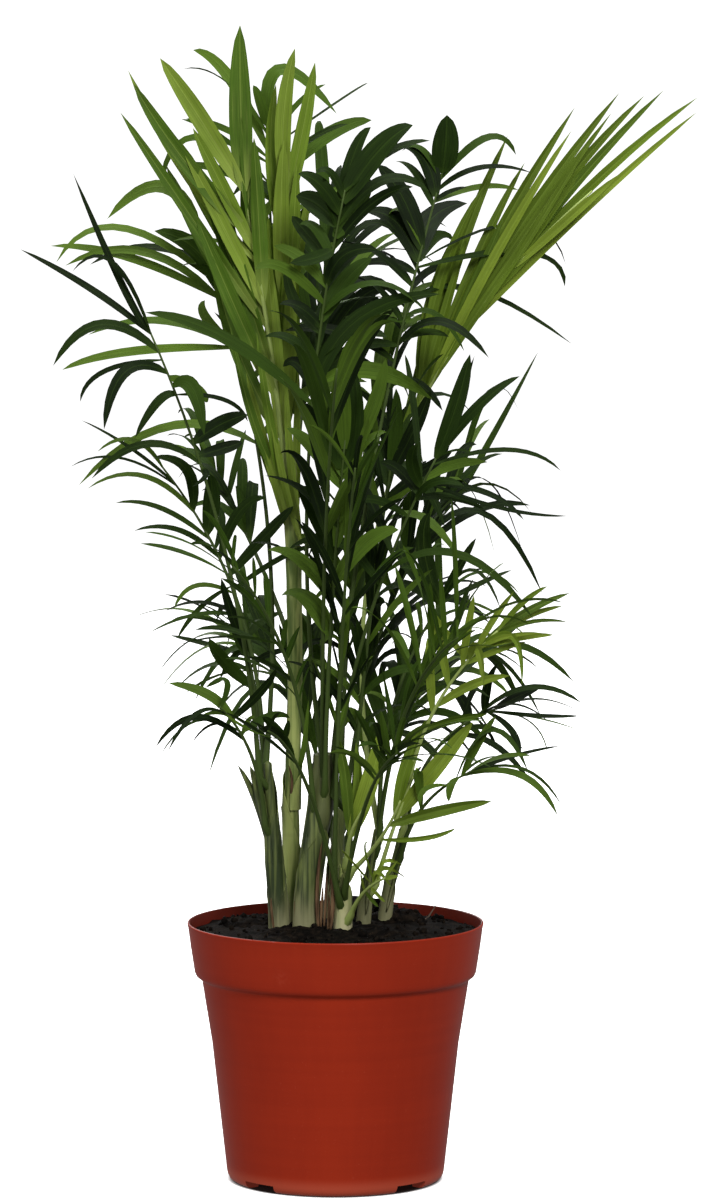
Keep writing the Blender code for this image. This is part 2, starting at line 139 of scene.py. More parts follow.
class Finish:
    """A material with one Principled shader, built up by its own nodes."""

    def __init__(self, name, **uniform):
        self.material = bpy.data.materials.new(name)
        self.material.use_nodes = True
        self.tree = self.material.node_tree
        self.shader = self.tree.nodes["Principled BSDF"]
        for socket, value in uniform.items():
            self.shader.inputs[socket.replace("_", " ")].default_value = value

    def node(self, kind, settings, values, output=0):
        made = self.tree.nodes.new(kind)
        for name, value in settings.items():
            setattr(made, name, value)
        for name, value in values.items():
            if isinstance(value, Tone):
                self.tree.links.new(value.socket, made.inputs[name])
            else:
                made.inputs[name].default_value = value
        return Tone(self, made.outputs[output])

    def place(self):
        """Where a spot lies, in metres."""
        return self.node("ShaderNodeTexCoord", {}, {}, "Object")

    def part_of(self, vector, axis):
        """One of a vector's three parts."""
        return self.node("ShaderNodeSeparateXYZ", {}, {"Vector": vector}, axis)

    def stretched(self, vector, scale):
        return self.node("ShaderNodeMapping", {}, {"Vector": vector, "Scale": scale})

    def apart(self, vector, spot):
        """How far a vector lies from a spot."""
        return self.node("ShaderNodeVectorMath", {"operation": "DISTANCE"}, {0: vector, 1: spot}, "Value")

    def noise(self, vector, scale, detail=3.0, roughness=0.5):
        values = {"Vector": vector, "Scale": scale, "Detail": detail, "Roughness": roughness}
        return self.node("ShaderNodeTexNoise", {}, values, "Fac")

    def blend(self, share, first, second):
        """A colour that goes from first to second as share goes from 0 to 1."""
        values = {"Factor": share}
        for name, colour in (("A", first), ("B", second)):
            values[name] = colour if isinstance(colour, Tone) else (*colour, 1)
        made = self.tree.nodes.new("ShaderNodeMix")
        made.data_type = "RGBA"
        sockets = {"Factor": made.inputs[0], "A": made.inputs[6], "B": made.inputs[7]}
        for name, value in values.items():
            if isinstance(value, Tone):
                self.tree.links.new(value.socket, sockets[name])
            else:
                sockets[name].default_value = value
        return Tone(self, made.outputs[2])

    def wear(self, **varying):
        """Links the tones that vary to the shader's own sockets."""
        for name, tone in varying.items():
            self.tree.links.new(tone.socket, self.shader.inputs[name.replace("_", " ")])

    def relief(self, height, strength, distance):
        """Makes the surface look raised where height is high."""
        values = {"Height": height, "Strength": strength, "Distance": distance}
        self.wear(Normal=self.node("ShaderNodeBump", {}, values, "Normal"))


def plastic_finish():
    """Red plastic with faint mould rings, flow marks, one scuff, a painted foot highlight and painted shade
    inside.
    """
    plastic = Finish("pot_plastic", Specular_IOR_Level=0.08, IOR=1.49)
    place = plastic.place()
    height = plastic.part_of(place, "Z")
    cloud = plastic.noise(plastic.stretched(place, (1, 1, 0.5)), 26, 3)
    streak = plastic.noise(plastic.stretched(place, (1, 1, 0.04)), 260, 2)
    speck = plastic.noise(place, 900, 1).within(0.70, 0.78)
    # Mask of the painted highlight along the foot.
    foot = height.within(0.0080, 0.0030)
    radius = plastic.apart(plastic.stretched(place, (1, 1, 0)), (POT_X, 0, 0))
    # The inner wall's line, and the mask of the painted shade on its upper part.
    inner_wall = height * INNER_LEAN + INNER_FOOT
    inside = (inner_wall - radius).within(0.0004, 0.0009) * height.within(0.0865, 0.0885)
    ring = plastic.noise(plastic.stretched(place, (0.02, 0.02, 1)), 210, 2)
    mottle = (cloud * 0.5 + streak * 0.15 + ring * 0.35).within(0.35, 0.66)
    colour = plastic.blend(mottle, POT_RED, POT_DEEP_RED)
    scratch = plastic.noise(place, 700, 3).within(0.45, 0.62)
    scuff = plastic.apart(place, SCUFF).within(0.0065, 0.001) * scratch
    # Painted highlight: the foot is lightened toward the scuff colour. The scuff and the specks are real
    # wear.
    colour = plastic.blend(scuff * 0.35 + speck * 0.12 + foot * 0.55, colour, POT_SCUFF_AND_FOOT_HIGHLIGHT)
    # Painted shade: the upper inside wall is darkened toward POT_SHADE.
    colour = plastic.blend(inside * 0.75, colour, POT_SHADE)
    plastic.wear(Base_Color=colour, Roughness=0.34 + cloud * 0.12 + scuff * 0.2)
    plastic.relief(streak * 0.5 + plastic.noise(place, 1400, 2) * 0.5, 0.10, 0.0004)
    return plastic.material


pot = raise_rings("nursery_pot", POT_SIDES, [(FOOT_RING, FOOT_PLATE)] + POT_WALL)
for turn in NOTCH_TURNS:
    bpy.ops.object.select_all(action="DESELECT")
    way = Vector((math.cos(math.radians(turn)), math.sin(math.radians(turn)), 0))
    bpy.ops.mesh.primitive_cube_add(size=1, location=Vector((POT_X, 0, 0)) + way * NOTCH_REACH,
                                    rotation=(0, 0, math.radians(turn)), scale=NOTCH)
    block = bpy.context.object
    stand_alone(block)
    pot.select_set(True)
    bpy.context.view_layer.objects.active = pot
    cut = pot.modifiers.new("notch", "BOOLEAN")
    cut.operation = "DIFFERENCE"
    cut.object = block
    bpy.ops.object.modifier_apply(modifier="notch")
    bpy.data.objects.remove(block, do_unlink=True)
stand_alone(pot)
bpy.ops.object.shade_smooth_by_angle(angle=math.radians(32))
pot.data.materials.append(plastic_finish())
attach(pot, "root")
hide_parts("pot")

# The soil is dark, damp peat compost, pressed loosely round the stems and heaped a little at the back of
# the pot. It lies as it was filled: a crumbly crown in the pot, with loose crumbs on it and one bit of
# twig.
SOIL_RADIUS = 0.0572
SOIL_CROWN = 0.1040
SOIL_EDGE = 0.1008
SOIL_SIDES = 72
SOIL_SIDE = [(0.0380, 0.0100), (0.0488, 0.0790), (0.0530, 0.0860), (0.0548, 0.0900), (0.0560, 0.0950)]
SOIL_RINGS = 26
SOIL_HEAPS = [
    ((0.0090, 0.0340, 0.1030), (0.0150, 0.0120, 0.0070)),
    ((0.0230, 0.0180, 0.1020), (0.0140, 0.0120, 0.0058)),
    ((-0.0330, 0.0110, 0.1015), (0.0130, 0.0140, 0.0042)),
    ((-0.0150, -0.0180, 0.1010), (0.0170, 0.0120, 0.0042)),
    ((0.0160, -0.0150, 0.1010), (0.0160, 0.0130, 0.0040)),
]
SOIL_BLACK = (0.0022, 0.0017, 0.0013)
SOIL_BROWN = (0.0110, 0.0076, 0.0050)
SOIL_FIBRE = (0.085, 0.058, 0.034)
CRUMBS = 260
SMALLEST_CRUMB, CRUMB_RANGE = 0.0005, 0.0013
TWIG = [(0.0330, 0.0180, 0.1005, 0.0003), (0.0380, 0.0200, 0.1040, 0.00045), (0.0410, 0.0215, 0.1085, 0.0002)]
TWIG_DARK = (0.035, 0.022, 0.014)
TWIG_PALE = (0.09, 0.06, 0.035)


def soil_finish():
    """Damp black peat with brown lumps and a few pale fibres."""
    soil = Finish("soil_peat", Specular_IOR_Level=0.04)
    place = soil.place()
    lump = soil.noise(place, 260, 4, 0.62)
    grain = soil.noise(place, 1500, 3)
    fibre = soil.noise(soil.stretched(place, (1, 0.25, 1)), 900, 2).within(0.66, 0.74)
    colour = soil.blend(lump.within(0.42, 0.72), SOIL_BLACK, SOIL_BROWN)
    colour = soil.blend(fibre * 0.22, colour, SOIL_FIBRE)
    soil.wear(Base_Color=colour, Roughness=0.78 + grain * 0.2)
    soil.relief(lump * 0.6 + grain * 0.4, 0.7, 0.0012)
    return soil.material


def grained(piece, size, strength):
    """Pushes a piece's surface in and out by a cloud pattern of that size."""
    pattern = bpy.data.textures.new(piece.name, "CLOUDS")
    pattern.noise_scale = size
    push = piece.modifiers.new("grain", "DISPLACE")
    push.texture = pattern
    push.texture_coords = "GLOBAL"
    push.strength = strength
    push.mid_level = 0.5
    bpy.context.view_layer.objects.active = piece
    bpy.ops.object.modifier_apply(modifier="grain")


def made_of(name, points, faces):
    """A new piece from its points and faces, smooth all over."""
    mesh = bpy.data.meshes.new(name)
    mesh.from_pydata(points, [], faces)
    mesh.shade_smooth()
    piece = bpy.data.objects.new(name, mesh)
    bpy.context.scene.collection.objects.link(piece)
    return piece


peat = soil_finish()
rings = SOIL_SIDE + [(SOIL_RADIUS + 0.0004, SOIL_EDGE)]
for i in range(1, SOIL_RINGS):
    outward = 1 - i / SOIL_RINGS
    rings.append((SOIL_RADIUS * outward, SOIL_EDGE + (SOIL_CROWN - SOIL_EDGE) * (1 - outward ** 2.2)))
soil = raise_rings("soil", SOIL_SIDES, rings)
for (x, y, z), scale in SOIL_HEAPS:
    bpy.ops.object.select_all(action="DESELECT")
    bpy.ops.mesh.primitive_ico_sphere_add(subdivisions=5, radius=1, location=(POT_X + x, y, z), scale=scale)
    stand_alone(bpy.context.object)
    soil.select_set(True)
    bpy.context.view_layer.objects.active = soil
    bpy.ops.object.join()
grained(soil, 0.0065, 0.0030)
grained(soil, 0.0019, 0.0013)
stand_alone(soil)
bpy.ops.object.shade_smooth()
soil.data.materials.append(peat)
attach(soil, "root")
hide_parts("soil")

bpy.ops.object.select_all(action="DESELECT")
bpy.ops.mesh.primitive_ico_sphere_add(subdivisions=2, radius=1, location=(0, 0, 0))
crumb = bpy.context.object
crumb.name = "crumb"
grained(crumb, 0.8, 0.7)
crumb_points = np.array([v.co for v in crumb.data.vertices])
crumb_faces = np.array([f.vertices for f in crumb.data.polygons])
chance = np.random.default_rng(11)
points, faces = [], []
for i in range(CRUMBS):
    reach = SOIL_RADIUS * 0.97 * math.sqrt(chance.random())
    turn = chance.random() * math.tau
    x, y = POT_X + reach * math.cos(turn), reach * math.sin(turn)
    struck, spot, _, _ = soil.ray_cast((x, y, 0.2), (0, 0, -1))
    size = SMALLEST_CRUMB + CRUMB_RANGE * chance.random() ** 2.5
    turned = np.linalg.qr(chance.normal(size=(3, 3)))[0]
    turned[:, 0] *= np.sign(np.linalg.det(turned))
    grown = crumb_points * (size * (0.6 + 0.7 * chance.random(3))) @ turned.T
    points.append(grown + np.array((x, y, spot.z + size * 0.3)))
    faces.append(crumb_faces + len(crumb_points) * i)
bpy.data.objects.remove(crumb, do_unlink=True)
crumbs = made_of("soil_crumbs", np.concatenate(points).tolist(), np.concatenate(faces).tolist())
crumbs.data.materials.append(peat)
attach(crumbs, "root")

twig = raise_rings("twig", 10, [(radius, z) for x, y, z, radius in TWIG],
                   [(POT_X + x, y) for x, y, z, radius in TWIG])
twig_bark = Finish("twig_bark", Roughness=0.85)
bark_grain = twig_bark.noise(twig_bark.place(), 900)
twig_bark.wear(Base_Color=twig_bark.blend(bark_grain, TWIG_DARK, TWIG_PALE))
twig.data.materials.append(twig_bark.material)
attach(twig, "root")

# The stems are slim green canes, each wrapped from the soil up in the split sheaths of old leaves. Their
# skin pales towards the foot, dry brown fibres cling to the sheaths, and the tall pale cane carries the
# young spears.
STEMS = {
    "left": [
        (-0.0226, -0.004, 0.1038, 0.0034), (-0.0230, -0.004, 0.112, 0.0033),
        (-0.0250, -0.005, 0.135, 0.0029), (-0.0272, -0.005, 0.170, 0.0016),
    ],
    "pale": [
        (-0.0165, 0.008, 0.1038, 0.0034), (-0.0172, 0.008, 0.115, 0.0032),
        (-0.0178, 0.006, 0.150, 0.0031), (-0.0163, 0.004, 0.203, 0.0030),
        (-0.0168, 0.002, 0.250, 0.0032), (-0.0186, 0.001, 0.286, 0.0026),
    ],
    "sheathed": [
        (-0.0120, -0.008, 0.1038, 0.0040), (-0.0114, -0.008, 0.116, 0.0042),
        (-0.0090, -0.008, 0.134, 0.0045), (-0.0058, -0.007, 0.152, 0.0050),
        (-0.0044, -0.007, 0.174, 0.0046),
    ],
    "centre": [
        (0.0030, -0.010, 0.1038, 0.0026), (0.0032, -0.010, 0.113, 0.0025),
        (0.0040, -0.010, 0.132, 0.0015),
    ],
    "slim": [
        (0.0112, 0.002, 0.1038, 0.0022), (0.0130, 0.002, 0.120, 0.0019),
        (0.0170, 0.003, 0.142, 0.0015),
    ],
    "right": [
        (0.0198, 0.010, 0.1038, 0.0022), (0.0222, 0.009, 0.120, 0.0018),
        (0.0272, 0.006, 0.142, 0.0014),
    ],
    "back": [
        (-0.0010, 0.018, 0.1038, 0.0034), (0.0000, 0.020, 0.122, 0.0030),
        (0.0018, 0.022, 0.148, 0.0025),
    ],
}
STEM_FOOT = 0.0990
STEM_SIDES = 20
STEM_RINGS = 26
KNOT_SWELL = 0.035
SHEATH_WALL = 0.0003
SHEATHS = [
    ("left", 0.1020, 0.1500, 300, 0.0005), ("left", 0.1300, 0.1720, 100, 0.0004),
    ("left", 0.1020, 0.1290, 60, 0.0007), ("pale", 0.1020, 0.1560, 215, 0.0007),
    ("pale", 0.1500, 0.1720, 60, 0.0004), ("sheathed", 0.1020, 0.1440, 300, 0.0009),
    ("sheathed", 0.1150, 0.1700, 150, 0.0005), ("centre", 0.1020, 0.1230, 285, 0.0009),
    ("centre", 0.1060, 0.1300, 200, 0.0004), ("slim", 0.1020, 0.1280, 270, 0.0005),
    ("right", 0.1020, 0.1260, 240, 0.0004), ("back", 0.1020, 0.1350, 90, 0.0006),
]
SHEATH_TIPS = [
    ((-25.6, -5, 128), (-30.6, -6, 150), (-39.5, -8, 170), 4.6),
    ((-26.4, -7, 134), (-30.6, -9, 154), (-34.4, -11, 170), 5.0),
    ((-24.4, -7, 120), (-27.2, -8, 140), (-29.6, -8, 161), 4.4),
    ((-13.6, -11, 112), (-12.4, -12, 128), (-11.6, -12, 143), 4.2),
    ((-9.6, -11, 118), (-7.2, -12, 142), (-3.2, -11, 168), 4.6),
    ((1.8, -12.6, 107), (1.2, -13.4, 116), (3.0, -13.4, 126.5), 4.0),
    ((20.6, 6.4, 108), (24.0, 5.4, 122), (29.8, 4.2, 140), 2.4),
    ((12.2, -1.6, 108), (13.8, -2.2, 124), (16.6, -2.6, 141), 2.6),
]
FIBRES = [
    ((-6.2, -12, 103), (-5.6, -13, 112), (-5.0, -13, 122), 1.5),
    ((-4.6, -12.6, 103), (-4.0, -13, 114), (-3.2, -12, 127), 1.3),
    ((-3.2, -12, 103), (-2.6, -13, 110), (-2.8, -13, 118), 1.6),
    ((-1.6, -12, 103), (-1.8, -12.6, 109), (-0.6, -12, 116), 1.2),
    ((-16.4, -9, 103), (-16.0, -10, 108), (-16.6, -10, 115), 1.4),
    ((-24.8, -8, 103), (-25.6, -8.6, 109), (-26.0, -8, 116), 1.2),
    ((-6.6, -13, 103), (-7.4, -13.4, 120), (-5.2, -13.6, 140), 1.8),
    ((-2.2, -13, 103), (-1.0, -13.4, 116), (-1.6, -13, 131), 2.0),
    ((-2.6, -10, 118), (-1.8, -10, 128), (-2.4, -10, 138), 0.9),
    ((-18.4, 2, 156), (-17.6, 1, 162), (-19.0, 0, 169), 1.3),
]
FIBRE_DARK = (0.050, 0.026, 0.012)
FIBRE_PALE = (0.150, 0.090, 0.045)
BLADE_STEPS = 11
BLADE_THICK = 0.00016
UP = Vector((0, 0, 1))


def stem_at(stem, height):
    """Centre and radius of a stem at a height, on a smooth line through its stations."""
    stations = np.array(STEMS[stem])
    knots = stations[:, 2]
    below = max(0, min(len(knots) - 2, int(np.searchsorted(knots, height)) - 1))
    share = (height - knots[below]) / (knots[below + 1] - knots[below])
    p0, p3 = stations[max(0, below - 1)], stations[min(len(knots) - 1, below + 2)]
    p1, p2 = stations[below], stations[below + 1]
    share = max(-0.4, min(1.0, share))
    bow = (p1 - p0) * (1 - share) - (p3 - p2) * share
    p = p1 + (p2 - p1) * share + 0.5 * share * (1 - share) * bow * 0.3
    return float(p[0]) + POT_X, float(p[1]), float(p[3])


def stem_finish(name, skin, shade, foot, foot_height):
    """Skin with fine lengthwise ribbing and darker streaks, going to the foot colour at the soil."""
    cane = Finish(name, Specular_IOR_Level=0.25)
    place = cane.place()
    height = cane.part_of(place, "Z")
    streak = cane.noise(cane.stretched(place, (1, 1, 0.03)), 620, 3)
    patch = cane.noise(cane.stretched(place, (1, 1, 0.22)), 130, 3)
    fine = cane.noise(cane.stretched(place, (1, 1, 0.02)), 2200, 2)
    colour = cane.blend((streak * 0.5 + patch * 0.5).within(0.40, 0.60), skin, shade)
    down = (height + patch * 0.030 + streak * 0.020 - 0.025).within(foot_height + 0.024, foot_height)
    colour = cane.blend(down, colour, foot)
    node_ring = cane.noise(cane.stretched(place, (0.05, 0.05, 1)), 95, 1).within(0.62, 0.68)
    colour = cane.blend(node_ring * 0.35, colour, (0.10, 0.12, 0.05))
    cane.wear(Base_Color=colour, Roughness=0.42 + streak * 0.2)
    cane.relief(streak * 0.5 + fine * 0.5, 0.35, 0.0004)
    return cane.material


def joined(name, pieces, crease):
    """Pieces joined into one, smooth but for edges that turn by more than crease, in degrees."""
    bpy.ops.object.select_all(action="DESELECT")
    for piece in pieces:
        piece.select_set(True)
    bpy.context.view_layer.objects.active = pieces[0]
    bpy.ops.object.join()
    whole = bpy.context.object
    whole.name = whole.data.name = name
    bpy.ops.object.shade_smooth_by_angle(angle=math.radians(crease))
    return whole


STEM_COLOURS = {
    "stem_pale": ((0.33, 0.38, 0.115), (0.095, 0.145, 0.028), (0.36, 0.34, 0.19), 0.100),
    "stem_olive": ((0.130, 0.160, 0.042), (0.020, 0.032, 0.008), (0.19, 0.185, 0.095), 0.1020),
    "stem_dark": ((0.075, 0.088, 0.028), (0.014, 0.018, 0.006), (0.30, 0.32, 0.16), 0.1120),
}
CANES = {
    "stem_pale": ["pale"],
    "stem_olive": ["left", "centre", "slim", "right", "back"],
    "stem_dark": ["sheathed"],
}
stem_finishes = {name: stem_finish(name, *colours) for name, colours in STEM_COLOURS.items()}
for kind, names in CANES.items():
    made = []
    for name in names:
        top = STEMS[name][-1][2]
        heights = [STEM_FOOT + (top - STEM_FOOT) * i / STEM_RINGS for i in range(STEM_RINGS + 1)]
        spots = [stem_at(name, z) for z in heights]
        sizes = [r * (1 + KNOT_SWELL * math.sin(z * 420 + len(name))) for z, (_, _, r) in zip(heights, spots)]
        rings = list(zip(sizes, heights)) + [(sizes[-1] * 0.6, top + 0.0006), (sizes[-1] * 0.2, top + 0.0009)]
        centres = [(x, y) for x, y, _ in spots]
        made.append(raise_rings("stem_" + name, STEM_SIDES, rings, centres + [centres[-1]] * 2))
    canes = joined("canes_" + kind[5:], made, 50)
    canes.data.materials.append(stem_finishes[kind])
    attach(canes, "root")
    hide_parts(*["stem_" + name for name in names])


def sheath(stem, low, high, mouth, proud):
    """A thin wrap round a stem from low to high, split down the side away from mouth, in degrees."""
    bpy.ops.object.select_all(action="DESELECT")
    points, faces = [], []
    across, along = 22, 20
    for j in range(along + 1):
        v = j / along
        for i in range(across + 1):
            u = i / across * 2 - 1
            open_half = math.radians(160 - 128 * max(0.0, (v - 0.35) / 0.65) ** 1.3)
            turn = math.radians(mouth) + u * open_half
            z = low + (high - low) * v * (1 - 0.10 * u * u)
            x, y, radius = stem_at(stem, z)
            flare = 0.0009 * max(0.0, v - 0.7) * (1 - abs(u))
            lift = proud * (1 - 0.5 * v) + 0.0004 + flare + 0.0003 * abs(u) ** 4
            points.append((x + (radius + lift) * math.cos(turn), y + (radius + lift) * math.sin(turn), z))
    for j in range(along):
        for i in range(across):
            a = j * (across + 1) + i
            faces.append((a, a + 1, a + across + 2, a + across + 1))
    piece = made_of("sheath", points, faces)
    bpy.context.view_layer.objects.active = piece
    piece.select_set(True)
    wall = piece.modifiers.new("wall", "SOLIDIFY")
    wall.thickness = SHEATH_WALL
    bpy.ops.object.modifier_apply(modifier="wall")
    return piece


for slot, pale in (("stem_pale", True), ("stem_olive", False)):
    wraps = [sheath(*row) for row in SHEATHS if (row[0] in ("pale", "centre")) == pale]
    wrap = joined("sheaths_" + slot[5:], wraps, 40)
    wrap.data.materials.append(stem_finishes[slot])
    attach(wrap, "root")


def blade(foot, middle, tip, upper, wide, twist, fold):
    """Points of one leaflet: a narrow lens, folded along its midrib, on a curve from foot to tip."""
    s = np.linspace(0, 1, BLADE_STEPS + 1)[:, None]
    foot, middle, tip, upper = np.array(foot), np.array(middle), np.array(tip), np.array(upper)
    line = foot * (1 - s) * (1 - 2 * s) + middle * 4 * s * (1 - s) + tip * s * (2 * s - 1)
    along = np.gradient(line, axis=0)
    along /= np.linalg.norm(along, axis=1)[:, None]
    across = np.cross(along, upper)
    across /= np.linalg.norm(across, axis=1)[:, None] + 1e-9
    out = np.cross(across, along)
    turn = twist * s
    across, out = across * np.cos(turn) + out * np.sin(turn), out * np.cos(turn) - across * np.sin(turn)
    shape = (s + 0.02) ** 0.5 * (1 - s) ** 0.62
    half = wide / 2 * shape / shape.max()
    thick = BLADE_THICK * (1 - s) ** 0.5
    left = line - across * half * math.cos(fold) + out * half * math.sin(fold)
    right = line + across * half * math.cos(fold) + out * half * math.sin(fold)
    rows = np.stack([left, line + out * thick, right, line - out * thick], axis=1)
    return np.concatenate([rows[:-1].reshape(-1, 3), line[-1:]])


def blade_faces():
    """Faces of one leaflet, and where each corner lies on it: across and along, both from 0 to 1."""
    faces, spots = [(0, 1, 2, 3)], [((0, 0), (0.5, 0), (1, 0), (0.5, 0))]
    across = (0, 0.5, 1, 0.5)
    for j in range(BLADE_STEPS - 1):
        low, high = j / BLADE_STEPS, (j + 1) / BLADE_STEPS
        for i in range(4):
            k = (i + 1) % 4
            faces.append((4 * j + i, 4 * j + 4 + i, 4 * j + 4 + k, 4 * j + k))
            spots.append(((across[i], low), (across[i], high), (across[k], high), (across[k], low)))
    last = 4 * (BLADE_STEPS - 1)
    for i in range(4):
        k = (i + 1) % 4
        faces.append((last + i, last + 4, last + k))
        spots.append(((across[i], 1 - 1 / BLADE_STEPS), (0.5, 1), (across[k], 1 - 1 / BLADE_STEPS)))
    return faces, spots


def joined_points(name, finish, rows, upper, fold):
    """Pointed strips from rows of foot, middle, tip and width in millimetres, as one piece."""
    faces, spots = blade_faces()
    size = 4 * BLADE_STEPS + 1
    points, polygons = [], []
    for i, (foot, middle, tip, wide) in enumerate(rows):
        foot, middle, tip = [Vector(spot) / 1000 for spot in (foot, middle, tip)]
        points.append(blade(foot, middle, tip, Vector(upper), wide / 1000, 0.5 * math.sin(3.1 * i), fold))
        polygons.extend([tuple(size * i + k for k in face) for face in faces])
    piece = made_of(name, (np.concatenate(points) + np.array((POT_X, 0, 0))).tolist(), polygons)
    piece.data.materials.append(finish)
    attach(piece, "root")


joined_points("sheath_tips", stem_finishes["stem_olive"], SHEATH_TIPS, (0.3, 1, 0), 0.7)
fibre = Finish("fibre_brown", Roughness=0.85, Specular_IOR_Level=0.15)
strand = fibre.noise(fibre.stretched(fibre.place(), (1, 1, 0.05)), 1500, 2).within(0.35, 0.65)
fibre.wear(Base_Color=fibre.blend(strand, FIBRE_DARK, FIBRE_PALE))
joined_points("sheath_fibres", fibre.material, FIBRES, (0.2, -1, 0), 0.5)

# The young spears are the two newest fronds, still folded round their stalk at the top of the pale cane.
# Their leaflets are broad, bright and nearly upright, soft to the touch, and stand close beside the stalk.
UNEVEN = 0.012
LOOSE = 0.04
CLASP_LENGTH = 0.007
CLASP = (1, 1.7, 1.5, 1.2, 1.05)
RIB_TAPER = 0.62
RIB_THICK = 0.00105
SPEAR_RIB_THICK = 0.0012
LEAF_YOUNG = [
    (0.092, 0.165, 0.010), (0.052, 0.108, 0.006),
    (0.120, 0.196, 0.014), (0.158, 0.235, 0.024),
]


class Frond:
    """A feather of leaflets on a rib that runs from its foot on the stem through bend to tip.

    bare: the share of the rib before the first pair of leaflets. leaf: the longest leaflet; first and last
    are the shares of it at the blade's foot and tip. wide: a leaflet's width in millimetres.
    spread: a leaflet's angle to the rib at the blade's foot and tip, in degrees; right is the same for the
    right row. face: where the upper side looks. shares: how long the left and right rows are.
    droop, lift: how far tips hang and middles rise. tilt: how far the leaflets lie flat.
    keep: the share of its leaflets that a frond still has. stray: how far they turn out of line, in degrees.
    low: no tip hangs below it. fold: how far a leaflet's halves are folded up, in radians.
    vee: how far the two rows stand up from the rib. For each degree of stray, a leaflet's length and rise
    change by UNEVEN of themselves, and its droop and twist by LOOSE.
    single: leaflets that lie apart, each with the share of the rib it springs from, and its middle, tip and
    width in millimetres."""

    def __init__(self, foot, bend, tip, bare, pairs, leaf, wide, spread, first=0.8, last=0.9, right=None,
                 face=(0, -1, 0.4), droop=0.28, shares=(1, 1), tilt=0.6, lift=0.1, keep=1.0, stray=3, low=0.0,
                 fold=0.2, vee=0.0, single=()):
        self.foot, self.bend, self.tip, self.face = Vector(foot), Vector(bend), Vector(tip), Vector(face)
        self.bare, self.pairs, self.leaf, self.first, self.last = bare, pairs, leaf, first, last
        self.spread, self.right, self.droop, self.shares = spread, right or spread, droop, shares
        self.wide, self.tilt, self.lift = wide / 1000, tilt, lift
        self.keep, self.stray, self.single = keep, stray, single
        self.low, self.fold, self.vee = low, fold, vee

    def rib(self, t):
        """The spot at the share t of the rib."""
        low = (self.bend - self.foot).length
        m = low / (low + (self.tip - self.bend).length)
        return (self.foot * ((t - m) * (t - 1) / m) + self.bend * (t * (t - 1) / (m * (m - 1)))
                + self.tip * (t * (t - m) / (1 - m)))

    def axes(self, t):
        """Along the rib, out of its upper side and across it, at the share t."""
        along = (self.rib(t + 0.001) - self.rib(t - 0.001)).normalized()
        over = (self.face - along * self.face.dot(along)).normalized()
        return along, over, along.cross(over)

    def leaf_length(self, u):
        """How long a leaflet is at the share u of the blade. The longest stand three tenths up."""
        if u < 0.3:
            return self.leaf * (self.first + (1 - self.first) * u / 0.3)
        return self.leaf * (1 + (self.last - 1) * (u - 0.3) / 0.7)

    def leaflets(self, chance):
        """Foot, middle, tip, upper side, width and twist of every leaflet on this frond."""
        made = []
        for right in (0, 1):
            angles = self.right if right else self.spread
            for i in range(self.pairs):
                if chance.random() > self.keep:
                    continue
                u = (i + 0.5 * (chance.random() - 0.5) + 0.2 * (right - 0.5)) / (self.pairs - 1)
                u = min(1.0, max(0.0, u))
                t = self.bare + (1 - self.bare) * u
                along, over, side = self.axes(t)
                side = side if right else -side
                angle = math.radians(angles[0] + (angles[1] - angles[0]) * u + chance.normal() * self.stray)
                length = self.leaf_length(u) * self.shares[right]
                length = length * (1 + UNEVEN * self.stray * chance.normal())
                way = along * math.cos(angle) + side * math.sin(angle)
                way += over * (self.vee + UNEVEN * self.stray * chance.normal())
                middle = way * 0.5 + UP * (self.lift * (1 + 0.6 * chance.normal()))
                end = way - UP * (self.droop * (1 + LOOSE * self.stray * chance.normal()))
                upper = over * (1 - self.tilt) + UP * self.tilt
                slim = 0.7 + 0.3 * math.sin(math.pi * min(1, u + 0.25))
                wide = self.wide * (0.8 + 0.4 * chance.random()) * slim
                foot = self.rib(t)
                short = self.low - (foot + end * length).z
                if short > 0:
                    end += UP * (1.6 * short / length)
                twist = LOOSE * self.stray * chance.normal()
                made.append((foot, foot + (middle * 0.9 + end * 0.05) * length, foot + end * length, upper,
                             wide * self.shares[right] ** 0.5, twist, self.fold))
        for t, middle, tip, wide in self.single:
            along, over, side = self.axes(t)
            upper = over * (1 - self.tilt * 0.7) + UP * self.tilt * 0.7
            made.append((self.rib(t), Vector(middle) / 1000, Vector(tip) / 1000, upper, wide / 1000,
                         0.2 * chance.normal(), self.fold))
        return made


def joined_blades(name, finishes, fronds, seed):
    """One mesh of all the leaflets of these fronds, with the finishes dealt out leaflet by leaflet."""
    chance = np.random.default_rng(seed)
    faces, spots = blade_faces()
    points, polygons, corners, dealt = [], [], [], []
    size = 4 * BLADE_STEPS + 1
    for frond in fronds.values():
        main = int(chance.integers(len(finishes)))
        for leaflet in frond.leaflets(chance):
            start = size * len(points)
            points.append(blade(*leaflet))
            polygons.extend([tuple(start + i for i in face) for face in faces])
            corners.extend(spots)
            dealt.append(main if chance.random() < 0.5 else int(chance.integers(len(finishes))))
    piece = made_of(name, (np.concatenate(points) + np.array((POT_X, 0, 0))).tolist(), polygons)
    mesh = piece.data
    grid = mesh.uv_layers.new(name="blade")
    flat = [spot for face in corners for spot in face]
    grid.data.foreach_set("uv", np.array(flat, dtype=np.float32).ravel())
    mesh.polygons.foreach_set("material_index", np.repeat(np.array(dealt, dtype=np.int32), len(faces)))
    mesh.validate()
    for finish in finishes:
        mesh.materials.append(finish)
    bpy.ops.object.select_all(action="DESELECT")
    piece.select_set(True)
    bpy.context.view_layer.objects.active = piece
    bpy.ops.object.shade_smooth_by_angle(angle=math.radians(24))
    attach(piece, "root")
    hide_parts(*["frond_" + name for name in fronds])


